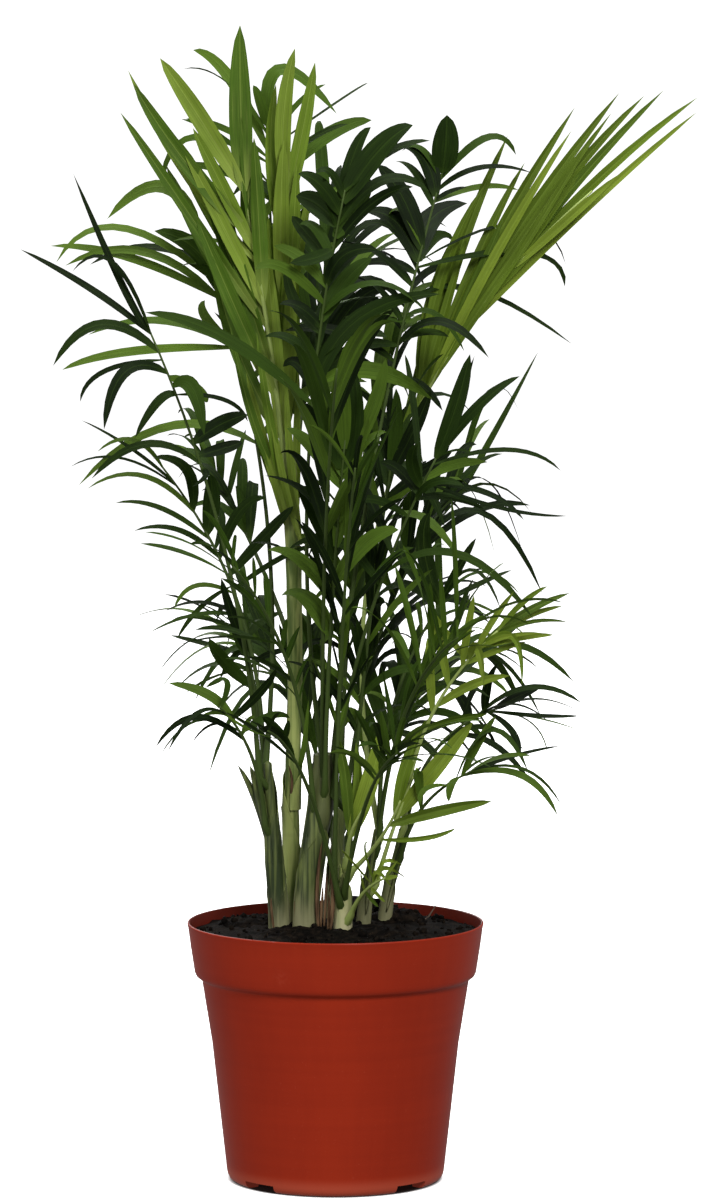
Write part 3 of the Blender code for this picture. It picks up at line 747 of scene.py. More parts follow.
def joined_ribs(name, finish, fronds, thick=RIB_THICK):
    """The stalks and ribs of these fronds as tapering rods, each broadened where it clasps its stem."""
    points, faces = [], []
    steps, sides = 24, 7
    for frond in fronds.values():
        start = len(points)
        root = frond.foot - UP * CLASP_LENGTH
        near = [Vector((x - POT_X, y, root.z)) for x, y, _ in [stem_at(stem, root.z) for stem in STEMS]]
        root = min(near, key=lambda spot: (spot - root).length)
        for j in range(steps + 1):
            t = max(0.0, (j - 2) / (steps - 2))
            along, over, side = frond.axes(min(max(t, 0.002), 0.998))
            radius = thick * (1 - RIB_TAPER * t) * CLASP[min(j, len(CLASP) - 1)]
            centre = frond.rib(t) if j > 1 else root.lerp(frond.foot, 0.5 * j)
            for i in range(sides):
                turn = math.tau * i / sides
                points.append(centre + (side * math.cos(turn) + over * math.sin(turn)) * radius)
        for j in range(steps):
            for i in range(sides):
                k = (i + 1) % sides
                a, b = start + j * sides, start + (j + 1) * sides
                faces.append((a + i, b + i, b + k, a + k))
        faces.append([start + i for i in range(sides)])
        faces.append([start + steps * sides + i for i in reversed(range(sides))])
    piece = made_of(name, [p + Vector((POT_X, 0, 0)) for p in points], faces)
    piece.data.materials.append(finish)
    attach(piece, "root")


def leaf_finish(name, colour, vein, rough=0.42, sheen=0.35, pale=0.14):
    """A leaf's skin: streaks and fine veins along it, a paler midrib, and a soft waxy sheen."""
    leaf = Finish(name, Specular_IOR_Level=sheen)
    spot = leaf.node("ShaderNodeUVMap", {"uv_map": "blade"}, {})
    across, along = leaf.part_of(spot, "X"), leaf.part_of(spot, "Y")
    place = leaf.place()
    patch = leaf.noise(place, 45, 2)
    streak = leaf.noise(leaf.stretched(spot, (16, 1.2, 1)), 1, 3)
    fine = leaf.noise(leaf.stretched(spot, (60, 3, 1)), 1, 2)
    midrib = abs(across - 0.5).within(0.06, 0.015)
    shade = tuple(c * 0.62 for c in colour)
    tone = leaf.blend((patch * 0.35 + streak * 0.65).within(0.36, 0.64), colour, shade)
    tone = leaf.blend(fine.within(0.5, 0.75) * 0.3, tone, vein)
    tone = leaf.blend(midrib * 0.22 + along.within(pale, 0.0) * (0.2 + pale), tone, vein)
    leaf.wear(Base_Color=tone, Roughness=rough + streak * 0.16)
    leaf.relief(fine * 0.4 + midrib * -0.8 + streak * 0.3, 0.30, 0.0003)
    return leaf.material


def leaf_finishes(name, colours, *rest):
    """One finish for each green of a kind of leaf."""
    return [leaf_finish("%s_%d" % (name, i), colour, *rest) for i, colour in enumerate(colours)]


young_finishes = leaf_finishes("leaf_young", LEAF_YOUNG, (0.27, 0.34, 0.070), 0.50, 0.12, 0.34)
young_rib = leaf_finish("rib_young", (0.24, 0.33, 0.055), (0.38, 0.45, 0.16))
spears = {
    "spear_tall": Frond(
        foot=(-0.0201, 0.0001, 0.2866), bend=(-0.029, -0.004, 0.357), tip=(-0.04, -0.008, 0.417),
        bare=0.12, pairs=10, leaf=0.078, wide=7, first=0.95, last=0.4, spread=(17, 12), right=(4, 9),
        face=(0, -1, 0), droop=0.0, tilt=0, lift=0, keep=0.4, fold=0.42,
        single=[
            (0.87, (-37.5, -8.6, 432.5), (-37.8, -9.8, 466.2), 10.2),
            (0.88, (-53.8, -10.5, 429.3), (-69.6, -12.9, 453.1), 8.3),
            (0.73, (-60.2, -10.4, 412.7), (-80.3, -13.6, 443.2), 7.3),
            (0.65, (-60.5, -2.5, 408.5), (-82.8, -0.9, 448.4), 4.3),
            (0.45, (-57.9, -10.5, 390.8), (-85.4, -15.3, 431.7), 5.4),
            (0.39, (-49.4, -1, 374.6), (-67.7, 0.2, 410.5), 7.3),
            (0.23, (-41.3, -7, 356.8), (-55.5, -10.6, 390.8), 7.3),
            (0.11, (-39.1, 2.3, 336.3), (-48.7, 4.3, 371.6), 6.8),
            (0.54, (-49.4, 0.8, 390.5), (-65.4, 4, 420.4), 6.4),
            (0.29, (-35.7, -4.4, 360.7), (-43.6, -6, 396.7), 5.9),
            (0.45, (-34.2, 0.3, 380.5), (-35.8, 2.7, 416.5), 6.4),
            (-0.2, (-27.3, -3, 295.4), (-35.8, -5, 327.8), 4.2),
            (-0.14, (-29.8, 2, 299.4), (-38.7, 2, 335), 4.2),
            (-0.06, (-32.6, -5, 307.5), (-41.9, -8, 346), 4),
            (-0.1, (-25.7, -6, 305.5), (-31.4, -8, 344), 4),
        ],
    ),
    "spear_closed": Frond(
        foot=(-0.0171, 0.0019, 0.2866), bend=(-0.021, 0.007, 0.356), tip=(-0.019, 0.006, 0.416),
        bare=0.15, pairs=7, leaf=0.06, wide=6, first=1.0, last=0.4, spread=(5, 3), right=(10, 8),
        face=(0, -1, 0), droop=0.0, tilt=0, lift=0, keep=0.35, fold=0.42,
        single=[
            (0.88, (-20.6, 4.9, 429.2), (-16.1, 3.7, 457.1), 7.3),
            (0.80, (-13.8, 8.8, 420.4), (-8.1, 10, 451.6), 6.8),
            (0.72, (-25.9, 10.2, 412.3), (-23.8, 12.2, 442.8), 5.4),
            (0.54, (-21.8, 4.6, 388.4), (-20.5, 3, 420.4), 7.3),
            (0.45, (-17.4, 5.4, 376.4), (-15.4, 4.6, 410.4), 6.4),
            (0.29, (-23.5, 6.7, 356.3), (-27.1, 7.5, 390.4), 6.4),
            (0.17, (-18.2, 2.4, 340.4), (-17.4, 1.2, 374.5), 6.4),
            (-0.2, (-18, -4, 293.4), (-19.6, -5, 325.7), 3.6),
            (-0.12, (-15.6, 3, 295.4), (-14.8, 4, 329.8), 3.6),
            (-0.22, (-21.3, -5, 287.3), (-25.7, -6, 315.6), 3.2),
        ],
    ),
}
joined_blades("leaflets_spears", young_finishes, spears, 21)
joined_ribs("ribs_spears", young_rib, spears, SPEAR_RIB_THICK)

# The fan is a new frond on the right that is opening: a long pale stalk, and bright pleated leaflets that
# still stand close together like a half-open fan. A small bright frond below it opens the same way.
fans = {
    "fan_right": Frond(
        foot=(0.0182, 0.0053, 0.138), bend=(0.028, 0.018, 0.299), tip=(0.103, 0.004, 0.4),
        bare=0.52, pairs=13, leaf=0.07, wide=4.6, first=1.1, last=0.65, spread=(7, 6), right=(5, 6),
        droop=0.0, tilt=0, lift=0, keep=0.25, stray=2, fold=0.42,
        single=[
            (0.63, (48.4, 22.6, 369.8), (69.8, 26.2, 422.2), 5.3),
            (0.63, (54.4, 19.6, 365.8), (76.6, 21.2, 411.4), 4.9),
            (0.62, (41.4, 14.9, 360), (59.8, 13.3, 401.9), 4.9),
            (0.64, (62.4, 18.2, 376), (96.6, 19, 433.5), 5.3),
            (0.64, (63.1, 13.4, 371.3), (95.1, 11, 424.4), 4.5),
            (0.65, (71.3, 19.9, 380), (114.8, 21.9, 439.5), 5.3),
            (0.65, (72.4, 15.1, 376.1), (111.3, 13.9, 431.5), 4.5),
            (0.69, (82.5, 17.3, 390.1), (124.7, 18.1, 438.3), 4.9),
            (0.70, (86.5, 14, 390.2), (132.1, 12.8, 440.4), 4.9),
            (0.73, (95.4, 15.1, 394.2), (145.9, 15.1, 437.5), 4.5),
            (0.74, (98.4, 10.6, 390.3), (145.1, 7.8, 431.6), 3.6),
            (0.64, (57.7, 21.2, 355.7), (78.7, 24, 389.9), 4.5),
            (0.66, (66.3, 11.9, 364.1), (96.3, 8.7, 405.2), 4.5),
            (0.67, (58.5, 21.9, 355.7), (78.8, 25.5, 385.9), 4.1),
            (0.62, (36.6, 18.5, 347.7), (48.3, 19.3, 382), 4.5),
        ],
    ),
    "right_fan": Frond(
        foot=(0.0277, 0.0054, 0.1426), bend=(0.042, -0.008, 0.196), tip=(0.065, -0.018, 0.225),
        bare=0.45, pairs=6, leaf=0.034, wide=4, first=0.9, spread=(50, 15), face=(0.2, -1, 0.6),
        droop=0.1, tilt=0, lift=0, keep=0.4, stray=10, fold=0.35,
        single=[
            (0.90, (74.8, -13, 230.9), (94.1, -11.4, 239.6), 3.6),
            (0.89, (74.7, -17.6, 227.7), (93, -19.2, 228.6), 2.0),
            (0.88, (67.8, -20.9, 222.8), (82.1, -24.9, 224.8), 2.0),
            (0.89, (74.1, -9.2, 228.5), (91.5, -5.2, 233.8), 2.8),
            (0.87, (70.6, -21.9, 223.3), (74.5, -26.7, 204.1), 2.8),
            (0.82, (57, -23, 218.6), (59.3, -29.4, 203.6), 4.1),
            (0.82, (42, -9.8, 226.5), (38, -7.4, 233.2), 3.6),
        ],
    ),
}
LEAF_OPEN = [
    (0.105, 0.168, 0.011), (0.054, 0.098, 0.006),
    (0.155, 0.220, 0.020), (0.082, 0.132, 0.009),
]
open_finishes = leaf_finishes("leaf_open", LEAF_OPEN, (0.20, 0.28, 0.050), 0.50, 0.10)
joined_blades("leaflets_fans", open_finishes, fans, 22)
joined_ribs("ribs_fans", young_rib, fans)

# The crown fronds are full grown and leathery. They arch over the top of the plant behind and between the
# spears, with dark, broad leaflets that turn their glossy upper sides to the light.
LEAF_DARK = [
    (0.0090, 0.0215, 0.0016), (0.0220, 0.0470, 0.0036),
    (0.0036, 0.0095, 0.0010), (0.058, 0.105, 0.010),
]
LEAF_MATURE = [
    (0.026, 0.058, 0.0040), (0.050, 0.098, 0.007),
    (0.010, 0.024, 0.0022), (0.075, 0.135, 0.012),
]
dark_finishes = leaf_finishes("leaf_dark", LEAF_DARK, (0.036, 0.070, 0.008), 0.52, 0.06)
mature_finishes = leaf_finishes("leaf_mature", LEAF_MATURE, (0.085, 0.145, 0.020), 0.52, 0.08)
green_rib = leaf_finish("rib_green", (0.026, 0.046, 0.007), (0.07, 0.11, 0.022), 0.5, 0.15)
crown = {
    "crown_centre": Frond(
        foot=(-0.0041, -0.004, 0.1626), bend=(-0.01, -0.018, 0.305), tip=(0.004, -0.028, 0.401),
        bare=0.66, pairs=7, leaf=0.062, wide=9, last=0.85, spread=(65, 40), shares=(0.4, 0.85), keep=0.9,
        stray=10,
        single=[
            (0.98, (17.8, -29.9, 416.9), (30.8, -31.5, 426.7), 12.0),
            (0.93, (6.7, -23.8, 412.9), (14.2, -22.2, 425.9), 5.8),
            (0.94, (-6.8, -22.9, 395), (-15.5, -20.5, 398.6), 9.8),
            (0.96, (-5.9, -30.6, 403.1), (-14.6, -33, 407.5), 6.7),
            (0.92, (8.3, -21.2, 395), (13.9, -18, 405.6), 8.9),
            (0.90, (-7.9, -31.5, 374.3), (-17.8, -35.5, 372.5), 5.8),
            (0.88, (-10.8, -17.8, 383), (-17.2, -13, 390.5), 5.8),
            (0.84, (3.9, -32.4, 375.6), (17, -38, 377.7), 6.7),
            (0.78, (3.9, -18.9, 364.4), (14.7, -16.5, 373.9), 7.6),
            (0.81, (-20.5, -32.9, 370.4), (-31.5, -39.3, 369.9), 5.0),
            (0.65, (7.9, -27.7, 348.9), (41.5, -33.3, 360.2), 7.6),
            (0.64, (-44.0, -28.7, 342.7), (-75.0, -35.1, 353.0), 5.5),
            (0.73, (-2.1, -14.1, 357.1), (6.7, -9.3, 366.9), 4.5),
            (0.76, (-16.4, -12.4, 357), (-19.7, -6, 371.9), 4.5),
            (0.69, (-6.9, -7.1, 344.8), (-5.3, 1.7, 356.4), 4.0),
        ],
    ),
    "crown_right": Frond(
        foot=(-0.0019, -0.0073, 0.1626), bend=(0.022, -0.01, 0.325), tip=(0.043, 0.01, 0.407),
        bare=0.64, pairs=7, leaf=0.07, wide=8, first=1.0, last=0.5, spread=(70, 38), shares=(0.6, 0.35),
        keep=0.8, stray=10,
        single=[
            (1.00, (44.4, 8.2, 418.4), (44.8, 7, 430.4), 11.1),
            (0.99, (61, 11, 421.1), (72.7, 12.2, 414.3), 4.5),
            (0.97, (58.2, 11.3, 409.1), (79.2, 13.7, 407.1), 3.5),
            (0.95, (58.2, 26, 401.1), (74.4, 36, 399.8), 3.5),
            (0.96, (36, 9.9, 412.3), (26, 11.9, 417.9), 7.6),
            (0.77, (53.8, 26, 360.2), (96.7, 36, 336.9), 3.1),
            (0.71, (41.7, -18.6, 348.5), (61.1, -25.8, 334.5), 5.0),
            (0.71, (5.1, -15, 336.4), (-10.8, -19.8, 318.3), 5.8),
            (0.84, (78, 26, 374.5), (93.4, 36, 360.4), 4.0),
            (0.85, (74.2, 26, 386.3), (93.8, 36, 369.3), 1.8),
            (0.85, (38.7, 26, 387.9), (53.7, 36, 394.4), 11.1),
            (0.85, (24.4, 4.3, 387.6), (12.3, 7.5, 391.6), 8.9),
            (0.85, (40.2, 26, 380.8), (48.1, 36, 379.8), 6.7),
            (0.83, (20, 6.7, 371.5), (6.7, 12.3, 368.9), 5.4),
            (0.75, (13.9, -10.7, 349.8), (3.9, -13.9, 350.3), 3.1),
            (0.75, (35.9, 26, 360.8), (52.2, 36, 358.1), 4.0),
            (0.87, (27.5, 3.2, 396.5), (16.7, 4.8, 410.8), 8.5),
            (0.80, (38.8, 26, 367.6), (50.9, 36, 369), 4.0),
            (0.73, (37.2, 26, 349.1), (48.3, 36, 343.9), 3.5),
        ],
    ),
}
joined_blades("leaflets_crown", dark_finishes, crown, 23)
crown_behind = {
    "behind_spears": Frond(
        foot=(-0.0184, 0.0055, 0.262), bend=(-0.024, 0.024, 0.343), tip=(-0.028, 0.03, 0.426),
        bare=0.55, pairs=8, leaf=0.05, wide=5.5, first=0.9, last=0.8, spread=(60, 38), face=(0, -1, 0),
        droop=0.15, keep=0.6, stray=8, vee=0.35,
        single=[
            (1.00, (-30.5, 28.2, 435.5), (-33.3, 27, 442.3), 4.5),
            (1.00, (-22.1, 31.2, 448.4), (0.6, 32, 430.6), 6.1),
            (0.94, (-43.6, 34.7, 446), (-57.9, 37.9, 456.5), 4.9),
            (0.85, (-4.3, 34.9, 421.3), (14.8, 38.5, 428.1), 6.5),
            (0.94, (1.8, 38.3, 436.2), (13.2, 43.9, 443.1), 1.2),
            (0.91, (-59.1, 35.8, 420.9), (-71.1, 39.8, 398.9), 3.2),
            (0.82, (-44.7, 25.7, 407.3), (-62.8, 23.3, 410.1), 4.1),
        ],
    ),
}
joined_blades("leaflets_behind", mature_finishes, crown_behind, 24)
joined_ribs("ribs_crown", green_rib, {**crown, **crown_behind})

# The left fronds arch out from the left cane, one above another. Their leaflets hang in thin, curved tips,
# and sky shows between them.
left_side = {
    "left_arch": Frond(
        foot=(-0.0306, -0.0075, 0.165), bend=(-0.045, -0.018, 0.261), tip=(-0.073, -0.026, 0.344),
        bare=0.7, pairs=5, leaf=0.058, wide=5, first=0.75, last=1.15, spread=(85, 25),
        face=(-0.3, -1, 0.6), keep=0.05, stray=8,
        single=[
            (1.00, (-84.4, -27.2, 363.5), (-103.6, -28, 407.8), 3.2),
            (1.00, (-96.5, -22.4, 361.4), (-125.2, -20, 377.5), 3.2),
            (1.00, (-88.1, -32, 372.8), (-103.8, -36, 369), 2.0),
            (0.96, (-93.1, -30.2, 347.8), (-111.6, -33.4, 331.7), 4.9),
            (0.94, (-92.3, -21.5, 328.7), (-101.6, -19.1, 316.7), 2.4),
            (0.91, (-83.1, -33, 329.3), (-91.3, -38.6, 306.7), 5.3),
            (0.86, (-70.3, -26.2, 317.1), (-79.5, -27.8, 302.8), 4.1),
            (0.88, (-56.4, -32, 322.8), (-51.7, -37, 304.5), 6.6),
            (0.86, (-43.9, -19, 317.4), (-34.8, -15.8, 308.5), 2.0),
            (0.75, (-44.9, -25.6, 308.3), (-34.6, -28, 312), 7.3),
            (0.72, (-43.6, -17.8, 298.2), (-37.2, -15.4, 300.5), 5.7),
            (0.69, (-51.4, -25.7, 287.6), (-56.8, -28.9, 283.4), 2.4),
            (0.90, (-55.5, -17.2, 321.3), (-50.8, -12.4, 316.3), 6.5),
        ],
    ),
    "left_low_arch": Frond(
        foot=(-0.0297, -0.0017, 0.16), bend=(-0.04, 0.01, 0.235), tip=(-0.071, 0.02, 0.289),
        bare=0.46, pairs=6, leaf=0.054, wide=5, last=0.95, spread=(70, 22), face=(-0.3, -1, 0.6),
        shares=(1, 0.5), keep=0.05, stray=8,
        single=[
            (0.83, (-78.2, 12.6, 284.9), (-100.4, 10.2, 279.8), 3.2),
            (0.74, (-71.1, 16.6, 271.6), (-89.4, 18.2, 273.5), 2.8),
            (0.68, (-63.6, 6.9, 263.4), (-81.2, 2.9, 263.4), 3.2),
            (0.92, (-87.5, 23, 291.5), (-108, 26.2, 287.6), 1.4),
            (0.99, (-82.3, 15, 299.3), (-96.3, 11.8, 294.7), 2.8),
            (0.93, (-83.3, 19.6, 295.8), (-103.2, 20.4, 307.1), 2.0),
            (0.84, (-60.3, 9.2, 287.6), (-73.5, 4.4, 293.1), 5.3),
            (0.76, (-49.9, 11, 275.3), (-50.6, 8.6, 286), 7.3),
            (0.68, (-38.5, 4.5, 270.9), (-27.9, -1.1, 277), 5.3),
            (0.62, (-27.9, 0.8, 261.5), (-16.6, -6.4, 274.2), 6.1),
            (0.58, (-19.9, -1.3, 253.6), (-7.3, -9.3, 257.9), 3.6),
            (0.71, (-46.1, 21.9, 266.3), (-49.5, 27.5, 272), 3.2),
        ],
    ),
    "left_small": Frond(
        foot=(-0.0278, -0.0007, 0.15), bend=(-0.033, 0.012, 0.199), tip=(-0.043, 0.022, 0.241),
        bare=0.5, pairs=5, leaf=0.032, wide=4, first=0.9, spread=(80, 50), face=(-0.3, -1, 0.6),
        shares=(1, 0.4), keep=0.3, stray=10,
        single=[
            (0.95, (-56.6, 16.2, 239.9), (-65.5, 13, 230.8), 2.8),
            (0.85, (-56.7, 17.1, 228), (-75.7, 15.9, 220.8), 2.8),
            (0.98, (-55.2, 25.2, 230.1), (-64.7, 27.6, 217.2), 2.4),
            (0.78, (-54.4, 24.6, 226.1), (-66.8, 29.4, 224.8), 2.4),
            (0.53, (-44.2, 4.7, 209.3), (-51, -0.1, 220.3), 6.1),
            (0.68, (-41.9, 12.8, 228.4), (-46.3, 11.2, 243.6), 4.1),
            (0.67, (-38.9, 19.8, 220.8), (-41.3, 23, 230.3), 6.5),
            (0.74, (-30, 22.5, 224.6), (-21, 26.5, 228.4), 4.1),
            (0.62, (-27.3, 9.1, 212.5), (-17.6, 5.9, 214.9), 3.6),
        ],
    ),
    "left_foot": Frond(
        foot=(-0.0284, -0.0089, 0.145), bend=(-0.035, -0.018, 0.178), tip=(-0.046, -0.032, 0.196),
        bare=0.4, pairs=5, leaf=0.036, wide=4, first=0.9, spread=(70, 30), face=(-0.3, -1, 0.6),
        shares=(1, 0.3), keep=0.2, stray=10,
        single=[
            (0.82, (-49.9, -27, 199.7), (-66.6, -28.2, 205.1), 4.5),
            (0.99, (-43.5, -26.8, 205.7), (-52, -23.6, 202.6), 3.2),
            (0.64, (-56, -24.4, 191), (-71.9, -27.6, 178.9), 2.8),
            (0.63, (-54.3, -14.6, 188.7), (-70.5, -11.4, 173.8), 1.2),
            (0.72, (-48.7, -13.6, 187), (-57.7, -8, 178.6), 1.2),
            (0.79, (-44.5, -23, 192.5), (-53.7, -22.2, 191.2), 2.4),
            (0.85, (-29.1, -29.9, 202.5), (-23.5, -32.3, 211.5), 3.6),
            (0.71, (-26.2, -16.9, 190.6), (-18.2, -13.7, 189.4), 3.2),
        ],
    ),
}
joined_blades("leaflets_left", dark_finishes, left_side, 25)
left_high_up = {
    "left_high": Frond(
        foot=(-0.0281, -0.0032, 0.1706), bend=(-0.032, 0.01, 0.3), tip=(-0.056, 0.022, 0.387),
        bare=0.58, pairs=6, leaf=0.074, wide=6, first=0.9, last=0.75, spread=(66, 50),
        face=(-0.3, -1, 0.6), keep=0.5, stray=8,
        single=[
            (0.99, (-70.9, 22.9, 401.3), (-92.4, 23.7, 388.3), 6.5),
            (0.86, (-56.2, 15.3, 376.1), (-73.1, 13.7, 383.8), 8.1),
            (0.88, (-86.7, 11.1, 385), (-112.3, 6.3, 371.1), 4.1),
            (0.85, (-83.1, 22.2, 372.6), (-115.6, 25.4, 377.4), 4.1),
            (0.76, (-83.1, 17.1, 334.8), (-110.7, 18.7, 327.5), 4.5),
            (0.76, (-52.4, 20.7, 348.4), (-52.9, 24.7, 355.5), 4.1),
        ],
    ),
}
joined_blades("leaflets_left_high", mature_finishes, left_high_up, 26)
joined_ribs("ribs_left", green_rib, {**left_side, **left_high_up})

# The right fronds are shorter and stand in the open under the fan, with upright tips and long thin hanging
# leaflets.
right_side = {
    "right_middle": Frond(
        foot=(-0.0011, -0.0101, 0.158), bend=(0.017, -0.022, 0.241), tip=(0.04, -0.032, 0.295),
        bare=0.55, pairs=7, leaf=0.054, wide=5, first=0.7, last=0.85, spread=(75, 20),
        face=(0.2, -1, 0.6), keep=0.3, stray=12,
        single=[
            (1.00, (47.5, -33.8, 314.3), (53.4, -35, 336.6), 7.3),
            (1.00, (57.4, -30.2, 316.1), (73.3, -29, 327.5), 4.9),
            (0.98, (69.5, -26.7, 298), (89.9, -23.5, 289.4), 2.4),
            (1.00, (48.6, -36.8, 298.7), (54.9, -40, 296.5), 1.2),
            (0.87, (40, -35.9, 285.9), (51, -40.7, 284.7), 4.1),
            (0.87, (44.9, -23.9, 279.1), (59.3, -20.7, 274), 3.6),
            (0.92, (58.9, -38.3, 282.1), (74.6, -43.9, 271.4), 2.8),
            (0.93, (65.7, -21.8, 274.5), (93, -16.2, 270.9), 2.0),
            (0.89, (25, -23.2, 289.8), (17.9, -19.2, 292.7), 4.9),
            (0.91, (30.5, -35.7, 293.8), (32.8, -39.7, 301.2), 5.3),
            (0.82, (15.8, -35.8, 278.8), (6.7, -41.4, 277.2), 4.1),
        ],
    ),
    "right_low": Frond(
        foot=(0.0282, 0.0087, 0.138), bend=(0.046, 0.014, 0.179), tip=(0.065, 0.022, 0.189),
        bare=0.4, pairs=6, leaf=0.035, wide=4, first=0.9, last=1.0, spread=(70, 10), face=(0.2, -1, 0.6),
        keep=0.4, stray=14,
        single=[
            (1.00, (74.4, 24.4, 193.7), (83.8, 26, 197.7), 4.9),
            (0.97, (81.6, 18.7, 186.6), (99.4, 17.1, 186.8), 2.8),
            (0.95, (81.8, 25.4, 185), (100.3, 28.6, 179.3), 1.6),
            (0.95, (71.7, 14.6, 180.5), (74.5, 10.6, 170.7), 3.6),
            (0.96, (79.4, 28.1, 183.1), (87, 32.9, 168.9), 1.0),
            (0.93, (62, 16.4, 199.5), (66.3, 14, 209.1), 4.1),
            (0.83, (51.5, 22.3, 192.7), (46.7, 25.5, 196.5), 4.9),
            (0.87, (62.9, 19.7, 178.7), (65, 20.5, 173.3), 2.0),
        ],
    ),
    "right_foot": Frond(
        foot=(0.0262, 0.0054, 0.13), bend=(0.04, -0.01, 0.158), tip=(0.054, -0.018, 0.168),
        bare=0.45, pairs=5, leaf=0.038, wide=4, last=1.0, spread=(45, 12), face=(0.2, -1, 0.6), keep=0.2,
        stray=14,
        single=[
            (0.93, (58, -18.8, 180.3), (64.3, -20.4, 191), 5.3),
            (0.93, (70.9, -15.2, 173.8), (90.6, -14.4, 178.2), 2.8),
            (0.92, (74, -21, 167.3), (89.1, -24.2, 151.1), 3.2),
            (0.92, (74.2, -12.6, 169.1), (91.2, -10.2, 153.4), 1.6),
            (0.91, (46.7, -23.2, 163.5), (45.4, -28, 157.3), 4.5),
            (0.92, (57.4, -9, 171.1), (65.6, -4.2, 172.9), 2.0),
            (0.78, (36, -16.6, 160.7), (34, -19, 154.9), 2.8),
        ],
    ),
}
joined_blades("leaflets_right", dark_finishes, right_side, 27)
right_upper = {
    "right_upright": Frond(
        foot=(0.018, 0.0033, 0.1426), bend=(0.027, 0.006, 0.203), tip=(0.042, 0.01, 0.233),
        bare=0.4, pairs=10, leaf=0.036, wide=3.8, first=0.9, last=0.95, spread=(75, 20), shares=(0.5, 1),
        keep=0.6, stray=12,
        single=[
            (1.00, (35.8, 7.6, 256.1), (38.2, 6, 270.8), 6.9),
            (1.00, (49.5, 5.2, 247.4), (56.7, 2, 260.6), 4.5),
            (1.00, (57.8, 14.8, 240.5), (71.6, 18, 246.3), 3.2),
            (1.00, (55.1, 4, 247.5), (66.7, 0, 231.7), 2.0),
            (1.00, (58.6, 16, 245.6), (75.4, 20, 235.5), 1.6),
            (1.00, (39.1, 13.6, 252.8), (44.4, 16, 256.6), 2.0),
            (1.00, (27.8, 17.2, 250.4), (27, 22, 258.2), 4.9),
            (1.00, (34.1, 1.6, 245.7), (26, -4, 249), 3.6),
        ],
    ),
}
joined_blades("leaflets_right_upright", mature_finishes, right_upper, 28)
joined_ribs("ribs_right", green_rib, {**right_side, **right_upper})

# The low young shoots come up beside the centre canes: simple bright blades that have just split in two,
# and one small spray of leaflets close to the soil.
shoots = {
    "low_bright": Frond(
        foot=(0.0072, -0.0128, 0.128), bend=(0.02, -0.024, 0.145), tip=(0.026, -0.03, 0.158),
        bare=0.6, pairs=3, leaf=0.036, wide=5, first=0.7, last=1.0, spread=(30, 6), droop=0.0, tilt=0,
        lift=0, keep=0, stray=5, fold=0.4,
        single=[
            (0.69, (42.6, -27.7, 154), (62.6, -29.3, 157.8), 5.3),
            (0.49, (35.9, -28, 142.8), (48.2, -32, 147.3), 2.4),
        ],
    ),
    "low_leaf": Frond(
        foot=(0.0164, 0.0007, 0.12), bend=(0.023, -0.002, 0.142), tip=(0.033, -0.003, 0.168),
        bare=0.45, pairs=3, leaf=0.014, wide=5, spread=(20, 10), droop=0.0, tilt=0, lift=0, keep=0,
        stray=5, fold=0.4,
        single=[
            (0.58, (41.4, -3.7, 169.2), (55.4, -4.5, 186.7), 7.3),
            (0.54, (29.3, -0.5, 170), (39, 0.7, 188.6), 5.7),
        ],
    ),
    "low_spray": Frond(
        foot=(0.0063, -0.0148, 0.11), bend=(0.012, -0.026, 0.121), tip=(0.02, -0.038, 0.128),
        bare=0.5, pairs=4, leaf=0.012, wide=2.5, first=0.9, spread=(60, 20), droop=0.0, tilt=0, lift=0,
        keep=0.6, stray=8, fold=0.3,
        single=[
            (0.73, (19.9, -33.6, 131.5), (29, -35.2, 126.9), 2.0),
            (0.72, (17.1, -34.6, 130), (22.6, -37, 123.9), 2.0),
            (0.71, (5.9, -32.5, 135.3), (2.7, -33.7, 138.7), 2.0),
            (0.72, (19.9, -28.6, 133.2), (27.1, -27, 131.4), 2.0),
            (0.77, (12.3, -31, 137.5), (13.1, -30.2, 141.5), 2.0),
        ],
    ),
    "centre_young": Frond(
        foot=(0.0047, -0.0117, 0.1326), bend=(0.007, -0.017, 0.145), tip=(0.011, -0.02, 0.153),
        bare=0.4, pairs=3, leaf=0.028, wide=5, first=0.7, spread=(20, 12), droop=0.0, tilt=0, lift=0,
        keep=0, stray=5, fold=0.4,
        single=[
            (0.42, (4.3, -17.4, 165.6), (0.7, -18.6, 182.7), 5.3),
            (0.43, (14.3, -16.9, 164.7), (19.5, -17.7, 187.4), 8.1),
            (0.31, (9.1, -11.6, 160), (8.3, -9.6, 179.2), 4.5),
        ],
    ),
}
joined_blades("leaflets_shoots", open_finishes, shoots, 29)
joined_ribs("ribs_shoots", young_rib, shoots)

# The front fronds lean out towards the viewer, and two more stand upright in the heart of the plant. Their
# fine leaflets overlap closely: mid green on the fronds at the left and right, and dark green in the
# middle.
front = {
    "front_left": Frond(
        foot=(-0.0088, -0.012, 0.153), bend=(-0.022, -0.036, 0.222), tip=(-0.04, -0.066, 0.255),
        bare=0.36, pairs=12, leaf=0.0378, wide=3.8, spread=(36, 14), face=(0, 1, 0.4), droop=0.1,
        shares=(0.5, 1), keep=0.85, stray=20, low=0.192, vee=0.45,
    ),
    "front_right": Frond(
        foot=(0.017, -0.0003, 0.135), bend=(0.032, -0.038, 0.204), tip=(0.048, -0.077, 0.228),
        bare=0.34, pairs=15, leaf=0.04, wide=3.3, spread=(36, 14), face=(0, 1, 0.4), droop=0.1, keep=0.85,
        stray=20, low=0.175, vee=0.45,
    ),
    "front_low_right": Frond(
        foot=(0.0039, -0.0148, 0.12), bend=(0.014, -0.048, 0.164), tip=(0.024, -0.09, 0.184),
        bare=0.62, pairs=10, leaf=0.034, wide=3.6, spread=(42, 14), face=(0, 1, 0.4), droop=0, stray=18,
        low=0.178, vee=0.2,
    ),
}
joined_blades("leaflets_front", mature_finishes, front, 30)
